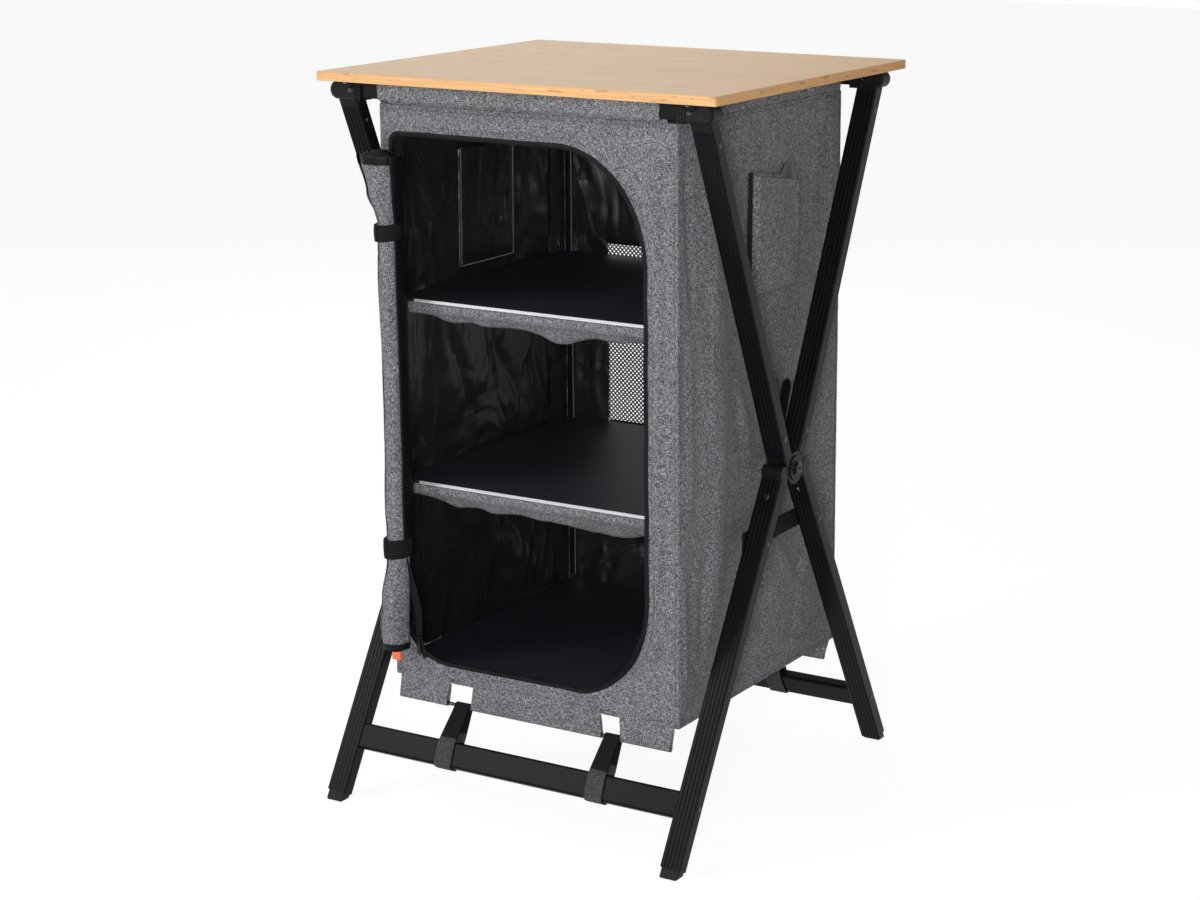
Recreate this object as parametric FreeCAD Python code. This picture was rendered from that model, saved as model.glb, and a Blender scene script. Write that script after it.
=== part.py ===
import FreeCAD, Part
import math
import os

# Camping cupboard: a crossed folding leg frame that carries a cloth cupboard and a wooden tabletop.
# Millimetres. +Z is up, the door faces -Y, and the origin is on the floor under the middle of the frame.

# Tabletop
TABLE_WIDTH = 600.0
TABLE_DEPTH = 546.0
TABLE_THICKNESS = 12.0
TABLE_TOP_Z = 1000.0
TABLE_SHIFT_BACK = 5.0
TABLE_CORNER_R = 4.0
TABLE_EDGE = 0.8
TABLE_SEAT_GAP = 0.3

# Grooved leg tube
LEG_INSET = 34.0
TUBE_WIDTH = 30.0
TUBE_DEPTH = 20.0
TUBE_WALL = 1.5
TUBE_CORNER_R = 2.5
GROOVE_COUNT = 4
GROOVE_PITCH = 5.6
GROOVE_WIDTH = 1.8
GROOVE_DEPTH = 0.7

# Leg crossing: the lean of each leg from upright, and how far its centre line passes the pivot
PIVOT_Z = 480.0
UPPER_LEAN = 24.7
UPPER_OFFSET = 10.5
LOWER_LEAN = 30.2
LOWER_OFFSET = 21.4

# Hub: two discs lapped side by side, each with an upper and a lower arm and a stop barrel
DISC_R = 22.3
LAP_GAP = 0.4
LAP_CLEARANCE = 1.0
BARREL_REACH = 32.0
BARREL_DROP = 1.0
STOP_GAP = 0.3
SHOULDER = 28.6
SPIGOT_LENGTH = 44.0
PLUG_GAP = 0.1
CAP_R = 17.0
CAP_THICKNESS = 1.9
PIVOT_R = 4.0
PIVOT_RUNNING_GAP = 0.05
BOLT_HEAD_R = 8.0
BOLT_HEAD_HEIGHT = 3.6
BOLT_HEAD_EDGE = 1.5
BOLT_SOCKET = 5.0
BOLT_SOCKET_DEPTH = 2.0
WASHER_R = 9.5
WASHER_THICKNESS = 1.0
NUT_ACROSS_FLATS = 13.0
NUT_HEIGHT = 6.0
BOLT_PROUD = 1.0
BOLT_BEDDED = 0.5
WASHER_GAP = 0.3
FACE_GAP = 0.1
SNUG = 0.02
CUT_PAST = 1.0

# Slotted lock plate beside each rear upper leg
PLATE_THICKNESS = 2.0
PLATE_END_R = 12.0
PLATE_LENGTH = 116.0
PLATE_SWAY = 11.4
PLATE_SLOT = 12.0
PLATE_SLOT_WIDTH = 3.4
PLATE_PIN_AT = 20.0

# Rivets and screws
RIVET_R = 2.0
RIVET_HEAD_R = 4.0
RIVET_HEAD_TOP_R = 2.6
RIVET_HEAD_HEIGHT = 1.6
RIVET_HOLE_GAP = 0.1
RIVET_FROM_END = 25.0

# Top bars, their corner brackets and the cloth sleeves round them
TOP_BAR_SIZE = 20.0
TOP_BAR_WALL = 1.5
BAR_CORNER_R = 2.5
SLEEVE_END_GAP = 26.0
SLEEVE_GAP = 0.3
SLEEVE_TAIL = 6.0
SLEEVE_TAIL_INSET = 11.5
BRACKET_INNER = 28.0
BRACKET_OUTER = 23.0
BRACKET_DEPTH = 26.0
BRACKET_ABOVE = 11.0
BRACKET_BELOW = 12.5
BRACKET_NECK = 21.0
BRACKET_EDGE = 2.5
SOCKET_DEPTH = 24.0
BRACKET_SCREW_AT = 17.0
RIB_COUNT = 3
RIB_START = 1.0
RIB_PITCH = 4.0
RIB_WIDTH = 1.8
RIB_HEIGHT = 1.0

# Bottom bars and feet
BOTTOM_BAR_Z = 80.0
BOTTOM_BAR_WIDTH = 36.0
BOTTOM_BAR_DEPTH = 16.0
BOTTOM_BAR_WALL = 1.5
BOTTOM_BAR_R = 4.0
BAR_END_PLUG = 14.0
BAR_SCREW_HOLE = 10.0
BAR_SCREW_GRIP = 9.0
BAR_END_GAP = 0.2
FOOT_SHOW = 4.0
FOOT_PLUG = 32.0
FOOT_EDGE = 1.6
FOOT_R = 3.0

# Cloth cupboard
CLOTH = 1.2
SIDE_CLEARANCE = 26.0
HANG_GAP = 0.5
FRONT_SLOPE = 15.0
BACK_SLOPE = 14.0
HEM_Z = 165.0
FLOOR_Z = 184.0
ROOF_DROP = 1.0
TOP_CLOTH_BELOW_TABLE = 2.5

# Doorway in the front, as margins inside the cloth's edges, with its four corner radii
DOOR_MARGIN_LEFT = 17.0
DOOR_MARGIN_RIGHT = 48.0
DOOR_BOTTOM = 25.0
DOOR_MARGIN_TOP = 39.7
DOOR_R_TOP_RIGHT = 130.0
DOOR_R_BOTTOM_RIGHT = 110.0
DOOR_R_TOP_LEFT = 12.0
DOOR_R_BOTTOM_LEFT = 72.0
ZIP_TAPE_WIDTH = 8.0
ZIP_TAPE_THICKNESS = 0.9

# Shelves, as shares of the cloth's height
UPPER_SHELF_SHARE = 0.6715
LOWER_SHELF_SHARE = 0.3528
BOARD_THICKNESS = 4.0
BOARD_FRONT_GAP = 9.0
BOARD_SIDE_GAP = 5.0
BOARD_CORNER_R = 32.0
BOARD_LAY_GAP = 0.2
EDGE_STRIP = 1.4
VALANCE_END_DROP = 4.0
VALANCE_END_WIDTH = 75.0
VALANCE_KNEE = 0.72
UPPER_VALANCE_DROP = 34.0
LOWER_VALANCE_DROP = 50.0
VALANCE_FOLDS = 7
VALANCE_SWAY = 3.2
VALANCE_TOP_SWAY = 0.2

# Net window in the back, as a margin beside it and shares of the cloth's height
NET_MARGIN = 75.0
NET_BOTTOM_SHARE = 0.355
NET_TOP_SHARE = 0.69
NET_COLUMNS = 16
NET_ROWS = 14
NET_STRAND = 2.6
NET_THICKNESS = 0.8

# Pockets
SIDE_POCKET_FRONT = -33.0
SIDE_POCKET_BACK = 100.0
SIDE_POCKET_ABOVE_SHELF = 9.0
SIDE_POCKET_BELOW_TOP = 87.0
SIDE_POCKET_SLANT = 20.0
SIDE_POCKET_ROOM = 9.0
INNER_POCKET_FRONT = -50.0
INNER_POCKET_BACK = 90.0
INNER_POCKET_ABOVE_SHELF = 12.0
INNER_POCKET_BELOW_TOP = 79.0
INNER_POCKET_ROOM = 7.0

# Rolled-up door: share of the doorway's height, centre past the doorway's left edge, and radius
ROLL_STATIONS = (
    (0.032, -1.8, 20.4),
    (0.130, -1.2, 20.4),
    (0.200, 3.0, 16.5),
    (0.261, 3.0, 16.5),
    (0.377, 4.0, 17.5),
    (0.583, 3.0, 17.0),
    (0.734, 2.0, 18.0),
    (0.797, 1.0, 15.5),
    (0.857, 1.0, 15.5),
    (0.912, -2.0, 24.0),
    (0.964, -3.0, 27.0),
)
ROLL_STEP = 1.14
ROLL_OFF_CLOTH = 2.6
TIE_SHARES = (0.2305, 0.827)
TIE_WIDTH = 20.0
TIE_THICKNESS = 1.3
TIE_GAP = 0.3

# Zip slider and its pull, and the loose end of the zip
SLIDER_WIDTH = 9.0
SLIDER_LENGTH = 13.0
SLIDER_HEIGHT = 4.5
SLIDER_EAR_R = 1.6
SLIDER_EAR_THICKNESS = 1.2
SLIDER_STEP = 1.5
SLIDER_WAIST = 0.4
SLIDER_NOSE = 0.7
SLIDER_PIN_RISE = 2.5
PULL_PIN_OUT = 0.5
PULL_EYE_WALL = 0.45
PULL_WIDTH = 6.0
PULL_LENGTH = 26.0
PULL_THICKNESS = 1.6
PULL_PIN_R = 1.0
PULL_PIN_GAP = 0.08
ZIP_TAIL_FROM = 147.0
ZIP_TAIL_WIDTH = 8.0
ZIP_TAIL_END_TURN = 60.0
SLIDER_IN = 24.5
SLIDER_ABOVE = 41.0

# Tunnels below the hem, round a rod: lower left and right, upper left and right, in half widths
TUNNELS = (
    (-0.982, -0.631, -0.964, -0.596),
    (-0.458, 0.471, -0.431, 0.471),
    (0.604, 0.942, 0.604, 0.973),
)
TUNNEL_LAP = 7.0
ROD_R = 2.5
ROD_GAP = 0.3
ROD_DROP = 31.0
ROD_MARGIN = 17.0
SIDE_TAB_WIDTH = 14.0
SIDE_TAB_HEIGHT = 20.0
SIDE_TAB_SHOW = 7.0
SIDE_TAB_ABOVE_HEM = 19.0

# Webbing; the bottom straps' places are shares of the half width
STRAP_PLACES = (-0.527, 0.538)
STRAP_WIDTH = 26.0
STRAP_THICKNESS = 1.5
STRAP_GAP = 0.3
SPREADER_BELOW = 88.0
SPREADER_WIDTH = 26.0
SPREADER_THICKNESS = 1.5

# Metal lips under the tabletop, outside the bars
LIP_INSET = 9.0
LIP_WIDTH = 14.0
LIP_DEPTH = 8.0
LIP_FLANGE = 11.0
LIP_THICKNESS = 1.4
LIP_CLEARANCE = 0.8
SCREW_R = 1.7
SCREW_LENGTH = 8.0
SCREW_TIP_GAP = 0.5
SCREW_HEAD_R = 3.4
SCREW_HEAD_TOP_R = 2.2
SCREW_HEAD_HEIGHT = 1.4

# Places that follow from the sizes above
Vec = FreeCAD.Vector
X_AXIS = Vec(1, 0, 0)
Y_AXIS = Vec(0, 1, 0)
Z_AXIS = Vec(0, 0, 1)
ORIGIN = Vec(0, 0, 0)
SAME_POINT = 1e-6
FLAT = 0.01


def sin(degrees):
    return math.sin(math.radians(degrees))


def cos(degrees):
    return math.cos(math.radians(degrees))


TABLE_UNDER_Z = TABLE_TOP_Z - TABLE_THICKNESS
BAR_Z = TABLE_UNDER_Z - TABLE_SEAT_GAP - CLOTH - SLEEVE_GAP - TOP_BAR_SIZE / 2
UPPER_REACH = (BAR_Z - PIVOT_Z + UPPER_OFFSET * sin(UPPER_LEAN)) / cos(UPPER_LEAN)
BAR_Y = -UPPER_REACH * sin(UPPER_LEAN) - UPPER_OFFSET * cos(UPPER_LEAN)
LOWER_REACH = (PIVOT_Z + LOWER_OFFSET * sin(LOWER_LEAN)) / cos(LOWER_LEAN)
LEG_PLANE_X = TABLE_WIDTH / 2 - LEG_INSET
LEG_OUTER_X = LEG_PLANE_X + TUBE_WIDTH / 2
LEG_INNER_X = LEG_PLANE_X - TUBE_WIDTH / 2
UPPER_TUBE_END = UPPER_REACH - BRACKET_NECK
LOWER_TUBE_END = LOWER_REACH - TUBE_DEPTH / 2 * math.tan(math.radians(LOWER_LEAN)) - FOOT_SHOW
BORE_WIDTH = TUBE_WIDTH - 2 * TUBE_WALL
BORE_DEPTH = TUBE_DEPTH - 2 * TUBE_WALL
PLUG_WIDTH = BORE_WIDTH - 2 * PLUG_GAP
PLUG_DEPTH = BORE_DEPTH - 2 * PLUG_GAP
PLUG_R = 1.0

BODY_HALF = LEG_INNER_X - SIDE_CLEARANCE
SLEEVE_OUT = TOP_BAR_SIZE / 2 + SLEEVE_GAP + CLOTH
PANEL_TOP_Z = BAR_Z - SLEEVE_OUT - SLEEVE_TAIL
FRONT_TOP_Y = BAR_Y + SLEEVE_TAIL_INSET
BACK_TOP_Y = -FRONT_TOP_Y
FRONT_HEM_Y = FRONT_TOP_Y + FRONT_SLOPE
BACK_HEM_Y = BACK_TOP_Y + BACK_SLOPE
PANEL_RISE = PANEL_TOP_Z - HEM_Z

DOOR_LEFT = DOOR_MARGIN_LEFT - BODY_HALF
DOOR_RIGHT = BODY_HALF - DOOR_MARGIN_RIGHT
DOOR_TOP = PANEL_RISE - DOOR_MARGIN_TOP
DOOR_RISE = DOOR_TOP - DOOR_BOTTOM
UPPER_SHELF_Z = HEM_Z + UPPER_SHELF_SHARE * PANEL_RISE
LOWER_SHELF_Z = HEM_Z + LOWER_SHELF_SHARE * PANEL_RISE
NET_HALF_WIDTH = BODY_HALF - NET_MARGIN
NET_BOTTOM = NET_BOTTOM_SHARE * PANEL_RISE
NET_TOP = NET_TOP_SHARE * PANEL_RISE
ROD_HALF_LENGTH = BODY_HALF - ROD_MARGIN
LIP_X = LEG_PLANE_X - LIP_INSET


def front_y(z):
    """y of the front cloth's outer face at height z."""
    return FRONT_HEM_Y - FRONT_SLOPE * (z - HEM_Z) / PANEL_RISE


def back_y(z):
    """y of the back cloth's outer face at height z."""
    return BACK_HEM_Y - BACK_SLOPE * (z - HEM_Z) / PANEL_RISE


def box(x0, y0, z0, x1, y1, z1):
    """Box between two corners."""
    return Part.makeBox(x1 - x0, y1 - y0, z1 - z0, Vec(x0, y0, z0))


def cylinder(radius, start, direction, length):
    """Cylinder from a start point along a direction."""
    return Part.makeCylinder(radius, length, start, direction)


def corner_arc(corner, before, after, radius):
    """Arc that rounds a right-angled corner, with the points where it meets the two sides."""
    into = (before - corner).normalize() * radius
    out = (after - corner).normalize() * radius
    centre = corner + into + out
    middle = centre + (corner - centre).normalize() * radius
    start, end = corner + into, corner + out
    return start, end, Part.Arc(start, middle, end).toShape()


def rounded_wire(corners, radii):
    """Closed wire through right-angled corners, each rounded by its own radius."""
    count = len(corners)
    arcs = [corner_arc(corners[i], corners[i - 1], corners[(i + 1) % count], radii[i]) for i in range(count)]
    edges = []
    for i in range(count):
        start, end, arc = arcs[i]
        edges.append(arc)
        following = arcs[(i + 1) % count][0]
        if end.distanceToPoint(following) > SAME_POINT:
            edges.append(Part.LineSegment(end, following).toShape())
    return Part.Wire(edges)


def rounded_rect(width, depth, radius, z=0.0, x=0.0, y=0.0):
    """Rounded rectangle in a level plane, as a wire."""
    w, d = width / 2, depth / 2
    corners = [Vec(x - w, y - d, z), Vec(x + w, y - d, z), Vec(x + w, y + d, z), Vec(x - w, y + d, z)]
    return rounded_wire(corners, [radius] * 4)


def prism(wire, direction):
    """Solid swept by a flat closed wire."""
    return Part.Face(wire).extrude(direction)


def plate(points, direction):
    """Solid swept by a polygon."""
    return prism(Part.makePolygon(list(points) + [points[0]]), direction)


def block(width, depth, radius, z0, z1, y=0.0):
    """Upright block with rounded corners, centred on x = 0."""
    return prism(rounded_rect(width, depth, radius, z0, 0.0, y), Vec(0, 0, z1 - z0))


def fuse(shapes):
    """One solid from several that meet."""
    return shapes[0].fuse(shapes[1:]).removeSplitter()


def mirror_x(shape):
    """The same piece on the other side of the cupboard."""
    return shape.mirror(ORIGIN, X_AXIS)


def mirror_y(shape):
    """The same piece at the back in place of the front."""
    return shape.mirror(ORIGIN, Y_AXIS)


def along_upper(shape):
    """From leg coordinates, z up the leg and -y outwards, to the front right upper leg."""
    moved = shape.copy()
    moved.rotate(ORIGIN, X_AXIS, UPPER_LEAN)
    moved.translate(Vec(LEG_PLANE_X, 0, PIVOT_Z))
    return moved


def along_lower(shape):
    """From leg coordinates, -z down the leg and -y outwards, to the front right lower leg."""
    moved = shape.copy()
    moved.rotate(ORIGIN, X_AXIS, -LOWER_LEAN)
    moved.translate(Vec(LEG_PLANE_X, 0, PIVOT_Z))
    return moved


def on_front(shape):
    """From cloth coordinates, x, thickness towards +y and height above the hem, to the sloping front."""
    moved = shape.copy()
    moved.rotate(ORIGIN, X_AXIS, math.degrees(math.atan2(FRONT_SLOPE, PANEL_RISE)))
    moved.translate(Vec(0, FRONT_HEM_Y, HEM_Z))
    return moved


def on_back(shape):
    """From cloth coordinates, with thickness towards -y, to the sloping back."""
    moved = shape.copy()
    moved.rotate(ORIGIN, X_AXIS, math.degrees(math.atan2(BACK_SLOPE, PANEL_RISE)))
    moved.translate(Vec(0, BACK_HEM_Y, HEM_Z))
    return moved


# Frame

def tube_section(z):
    """Face of the leg tube's wall, with lengthwise grooves in its wide sides."""
    face = Part.Face(rounded_rect(TUBE_WIDTH, TUBE_DEPTH, TUBE_CORNER_R, z))
    for side in (-1, 1):
        wall_y = side * TUBE_DEPTH / 2
        for index in range(GROOVE_COUNT):
            x = (index - (GROOVE_COUNT - 1) / 2) * GROOVE_PITCH
            edge = wall_y + side * GROOVE_DEPTH
            root = Vec(x, wall_y - side * GROOVE_DEPTH, z)
            points = [Vec(x - GROOVE_WIDTH, edge, z), Vec(x + GROOVE_WIDTH, edge, z), root]
            face = face.cut(Part.Face(Part.makePolygon(points + [points[0]])))
    bore = Part.Face(rounded_rect(BORE_WIDTH, BORE_DEPTH, PLUG_R, z))
    return face.cut(bore)


def leg_tube(z0, z1, y):
    """Leg tube between two stations of its leg."""
    tube = tube_section(z0).extrude(Vec(0, 0, z1 - z0))
    tube.translate(Vec(0, y, 0))
    return tube


def cross_hole(y, z):
    """Rivet hole through a leg from side to side."""
    return cylinder(RIVET_R + RIVET_HOLE_GAP, Vec(-TUBE_WIDTH, y, z), X_AXIS, 2 * TUBE_WIDTH)


def face_hole(y, z):
    """Rivet hole through a leg from front to back."""
    return cylinder(RIVET_R + RIVET_HOLE_GAP, Vec(0, y - TUBE_WIDTH, z), Y_AXIS, 2 * TUBE_WIDTH)


UPPER_RIVETS = (SHOULDER + RIVET_FROM_END, UPPER_TUBE_END - RIVET_FROM_END)
LOWER_RIVET = SHOULDER + RIVET_FROM_END
BOTTOM_BAR_AT = (PIVOT_Z - BOTTOM_BAR_Z + LOWER_OFFSET * sin(LOWER_LEAN)) / cos(LOWER_LEAN)
SPREADER_AT = (SPREADER_BELOW + LOWER_OFFSET * sin(LOWER_LEAN)) / cos(LOWER_LEAN)


def upper_leg():
    """Upper leg tube with its rivet holes."""
    tube = leg_tube(SHOULDER, UPPER_TUBE_END, -UPPER_OFFSET)
    for station in UPPER_RIVETS:
        tube = tube.cut(cross_hole(-UPPER_OFFSET, station))
    return along_upper(tube)


def lower_leg():
    """Lower leg tube with its rivet and bar screw holes."""
    tube = leg_tube(-LOWER_TUBE_END, -SHOULDER, -LOWER_OFFSET)
    tube = tube.cut(face_hole(-LOWER_OFFSET, -LOWER_RIVET))
    tube = tube.cut(cross_hole(-LOWER_OFFSET, -BOTTOM_BAR_AT))
    tube = tube.cut(cross_hole(-LOWER_OFFSET, -SPREADER_AT))
    return along_lower(tube)


def barrel_radius():
    """Stop barrel that just reaches the outer face of the open upper leg."""
    reach = BARREL_REACH * cos(UPPER_LEAN) + BARREL_DROP * sin(UPPER_LEAN)
    return reach - UPPER_OFFSET - TUBE_DEPTH / 2 - STOP_GAP


def hub_half(x0, x1, cap_x, other):
    """Hub half with its disc between x0 and x1, clear of the other half's disc between the two x in other.

    It has the front upper arm, the back lower arm and the back stop barrel.
    """
    pivot = Vec(0, 0, PIVOT_Z)
    disc = cylinder(DISC_R, pivot + Vec(x0, 0, 0), X_AXIS, x1 - x0)
    cap = cylinder(CAP_R, pivot + Vec(cap_x, 0, 0), X_AXIS, CAP_THICKNESS)
    upper_arm = along_upper(block(TUBE_WIDTH, TUBE_DEPTH, TUBE_CORNER_R, 0.0, SHOULDER, -UPPER_OFFSET))
    barrel_r = barrel_radius()
    barrel_at = BARREL_REACH * sin(LOWER_LEAN) + BARREL_DROP * cos(LOWER_LEAN)
    lower_arm = block(TUBE_WIDTH, TUBE_DEPTH, TUBE_CORNER_R, -SHOULDER, -barrel_at, -LOWER_OFFSET)
    barrel_start = Vec(LEG_INNER_X, -BARREL_REACH, PIVOT_Z - BARREL_DROP)
    barrel = cylinder(barrel_r, barrel_start, X_AXIS, TUBE_WIDTH)
    lower_arm = mirror_y(along_lower(lower_arm).fuse(barrel))
    keep_out = cylinder(DISC_R + LAP_CLEARANCE, pivot + Vec(other[0], 0, 0), X_AXIS, other[1] - other[0])
    arms = [upper_arm.cut(keep_out), lower_arm.cut(keep_out)]
    upper_spigot = block(PLUG_WIDTH, PLUG_DEPTH, PLUG_R, SHOULDER, SHOULDER + SPIGOT_LENGTH, -UPPER_OFFSET)
    upper_spigot = along_upper(upper_spigot.cut(cross_hole(-UPPER_OFFSET, UPPER_RIVETS[0])))
    lower_spigot = block(PLUG_WIDTH, PLUG_DEPTH, PLUG_R, -SHOULDER - SPIGOT_LENGTH, -SHOULDER, -LOWER_OFFSET)
    lower_spigot = mirror_y(along_lower(lower_spigot.cut(face_hole(-LOWER_OFFSET, -LOWER_RIVET))))
    return fuse([disc, cap] + arms + [upper_spigot, lower_spigot])


def hub_outer():
    """Outer hub half, which turns on the pivot bolt."""
    lap = LEG_PLANE_X + LAP_GAP / 2
    half = hub_half(lap, LEG_OUTER_X, LEG_OUTER_X, (LEG_INNER_X - LAP_CLEARANCE, lap))
    bore = cylinder(PIVOT_R + PIVOT_RUNNING_GAP, Vec(LEG_PLANE_X, 0, PIVOT_Z), X_AXIS, TUBE_WIDTH)
    return half.cut(bore)


def hub_inner():
    """Inner hub half, which holds the pivot bolt."""
    lap = LEG_PLANE_X - LAP_GAP / 2
    half = hub_half(LEG_INNER_X, lap, LEG_INNER_X - CAP_THICKNESS, (lap, LEG_OUTER_X + LAP_CLEARANCE))
    bore = cylinder(PIVOT_R + SNUG, Vec(LEG_PLANE_X - TUBE_WIDTH, 0, PIVOT_Z), X_AXIS, TUBE_WIDTH)
    pin_hole = cross_hole(-UPPER_OFFSET / 2, PLATE_PIN_AT)
    return mirror_y(half.cut(bore).cut(along_upper(pin_hole)))


PLATE_X = LEG_INNER_X - CAP_THICKNESS - FACE_GAP - PLATE_THICKNESS


def lock_plate():
    """Slotted plate on the inner side of a rear upper leg, from the pivot up."""
    z_end = PLATE_LENGTH
    w = PLATE_END_R
    low = cylinder(w, Vec(0, 0, 0), X_AXIS, PLATE_THICKNESS)
    top = cylinder(w, Vec(0, PLATE_SWAY, z_end - w), X_AXIS, PLATE_THICKNESS)
    sides = [Vec(0, -w, 0), Vec(0, w, 0), Vec(0, PLATE_SWAY + w, z_end - w), Vec(0, PLATE_SWAY - w, z_end - w)]
    body = fuse([low, top, plate(sides, Vec(PLATE_THICKNESS, 0, 0))])
    slot_y0 = PLATE_SWAY - PLATE_SLOT_WIDTH / 2
    slot_z1 = z_end - w / 2
    past = PLATE_THICKNESS + CUT_PAST
    body = body.cut(box(-CUT_PAST, slot_y0, slot_z1 - PLATE_SLOT, past, slot_y0 + PLATE_SLOT_WIDTH, slot_z1))
    body = body.cut(cylinder(PIVOT_R + PIVOT_RUNNING_GAP, Vec(-CUT_PAST, 0, 0), X_AXIS, past + CUT_PAST))
    body = body.cut(cross_hole(-UPPER_OFFSET / 2, PLATE_PIN_AT))
    body.translate(Vec(PLATE_X - LEG_PLANE_X, 0, 0))
    return mirror_y(along_upper(body))


def pivot_bolt():
    """Bolt with its washer outside and its nut inside."""
    head_x = LEG_OUTER_X + CAP_THICKNESS + FACE_GAP + WASHER_THICKNESS + FACE_GAP
    nut_x = PLATE_X - FACE_GAP - NUT_HEIGHT
    centre = Vec(0, 0, PIVOT_Z)
    start_x, end_x = nut_x - BOLT_PROUD, head_x + BOLT_BEDDED
    shank = cylinder(PIVOT_R, centre + Vec(start_x, 0, 0), X_AXIS, end_x - start_x)
    head = cylinder(BOLT_HEAD_R, centre + Vec(head_x, 0, 0), X_AXIS, BOLT_HEAD_HEIGHT)
    rim = [edge for edge in head.Edges if edge.BoundBox.XMin > head_x + BOLT_HEAD_HEIGHT - FLAT]
    head = head.makeChamfer(BOLT_HEAD_EDGE, rim)
    socket = hexagon(head_x + BOLT_HEAD_HEIGHT - BOLT_SOCKET_DEPTH, BOLT_SOCKET, BOLT_SOCKET_DEPTH + CUT_PAST)
    bolt = fuse([shank, head]).cut(socket)
    washer_x = LEG_OUTER_X + CAP_THICKNESS + FACE_GAP
    washer = cylinder(WASHER_R, centre + Vec(washer_x, 0, 0), X_AXIS, WASHER_THICKNESS)
    washer_hole = cylinder(PIVOT_R + WASHER_GAP, centre + Vec(washer_x - CUT_PAST, 0, 0), X_AXIS,
                           WASHER_THICKNESS + 2 * CUT_PAST)
    washer = washer.cut(washer_hole)
    nut = hexagon(nut_x, NUT_ACROSS_FLATS, NUT_HEIGHT)
    nut_hole = cylinder(PIVOT_R + SNUG, centre + Vec(nut_x - CUT_PAST, 0, 0), X_AXIS, NUT_HEIGHT + 2 * CUT_PAST)
    nut = nut.cut(nut_hole)
    return [bolt, washer, nut]


def hexagon(x, across, length):
    """Hexagonal bar on the pivot axis."""
    radius = across / 2 / cos(30)
    points = [Vec(x, radius * cos(60 * i), PIVOT_Z + radius * sin(60 * i)) for i in range(6)]
    return plate(points, Vec(length, 0, 0))


def top_bar():
    """Square front top bar, open tube."""
    half = LEG_PLANE_X - BRACKET_INNER + SOCKET_DEPTH - BAR_END_GAP
    outer = rounded_rect(TOP_BAR_SIZE, TOP_BAR_SIZE, BAR_CORNER_R)
    inner_size = TOP_BAR_SIZE - 2 * TOP_BAR_WALL
    inner = rounded_rect(inner_size, inner_size, BAR_CORNER_R - TOP_BAR_WALL)
    bar = Part.Face(outer).cut(Part.Face(inner)).extrude(Vec(0, 0, 2 * half))
    bar.rotate(ORIGIN, Y_AXIS, 90)
    bar.translate(Vec(-half, BAR_Y, BAR_Z))
    for sign in (-1, 1):
        bar = bar.cut(bracket_screw_hole(sign))
    return bar


def bracket_screw_hole(sign):
    """Hole for the screw that holds a bar in its bracket."""
    x = sign * (LEG_PLANE_X - BRACKET_INNER + BRACKET_SCREW_AT)
    return cylinder(RIVET_R + RIVET_HOLE_GAP, Vec(x, BAR_Y - BRACKET_DEPTH, BAR_Z), Y_AXIS, 2 * BRACKET_DEPTH)


def corner_bracket():
    """Moulded front right corner: ribbed bar socket, round outer end and a plug for the leg."""
    x0 = LEG_PLANE_X - BRACKET_INNER
    x1 = LEG_PLANE_X + BRACKET_OUTER
    half_height = (BRACKET_ABOVE + BRACKET_BELOW) / 2
    z_mid = BAR_Z + (BRACKET_ABOVE - BRACKET_BELOW) / 2
    y0 = BAR_Y - BRACKET_DEPTH / 2
    centre_x = x1 - half_height
    low, high = z_mid - half_height, z_mid + half_height
    points = [Vec(centre_x, y0, low), Vec(x0, y0, low), Vec(x0, y0, high), Vec(centre_x, y0, high)]
    lines = [Part.LineSegment(points[i], points[i + 1]).toShape() for i in range(3)]
    round_end = Part.Arc(points[3], Vec(x1, y0, z_mid), points[0]).toShape()
    housing = prism(Part.Wire(lines + [round_end]), Vec(0, BRACKET_DEPTH, 0))
    rims = [e for e in housing.Edges if e.BoundBox.YLength < FLAT and e.BoundBox.XMax > x0 + RIB_START]
    housing = housing.makeChamfer(BRACKET_EDGE, rims)
    pieces = [housing]
    for index in range(RIB_COUNT):
        rib_x = x0 + RIB_START + index * RIB_PITCH
        y1 = y0 + BRACKET_DEPTH + RIB_HEIGHT
        pieces.append(box(rib_x, y0 - RIB_HEIGHT, low - RIB_HEIGHT, rib_x + RIB_WIDTH, y1, high - BRACKET_EDGE))
    neck = block(TUBE_WIDTH, TUBE_DEPTH, TUBE_CORNER_R, UPPER_TUBE_END, UPPER_REACH, -UPPER_OFFSET)
    pieces.append(along_upper(neck))
    plug = block(PLUG_WIDTH, PLUG_DEPTH, PLUG_R, UPPER_TUBE_END - SPIGOT_LENGTH, UPPER_TUBE_END, -UPPER_OFFSET)
    pieces.append(along_upper(plug.cut(cross_hole(-UPPER_OFFSET, UPPER_RIVETS[1]))))
    body = fuse(pieces)
    room = TOP_BAR_SIZE + 2 * PLUG_GAP
    socket = prism(rounded_rect(room, room, BAR_CORNER_R), Vec(0, 0, SOCKET_DEPTH))
    socket.rotate(ORIGIN, Y_AXIS, 90)
    socket.translate(Vec(x0, BAR_Y, BAR_Z))
    return body.cut(socket).cut(bracket_screw_hole(1))


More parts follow.
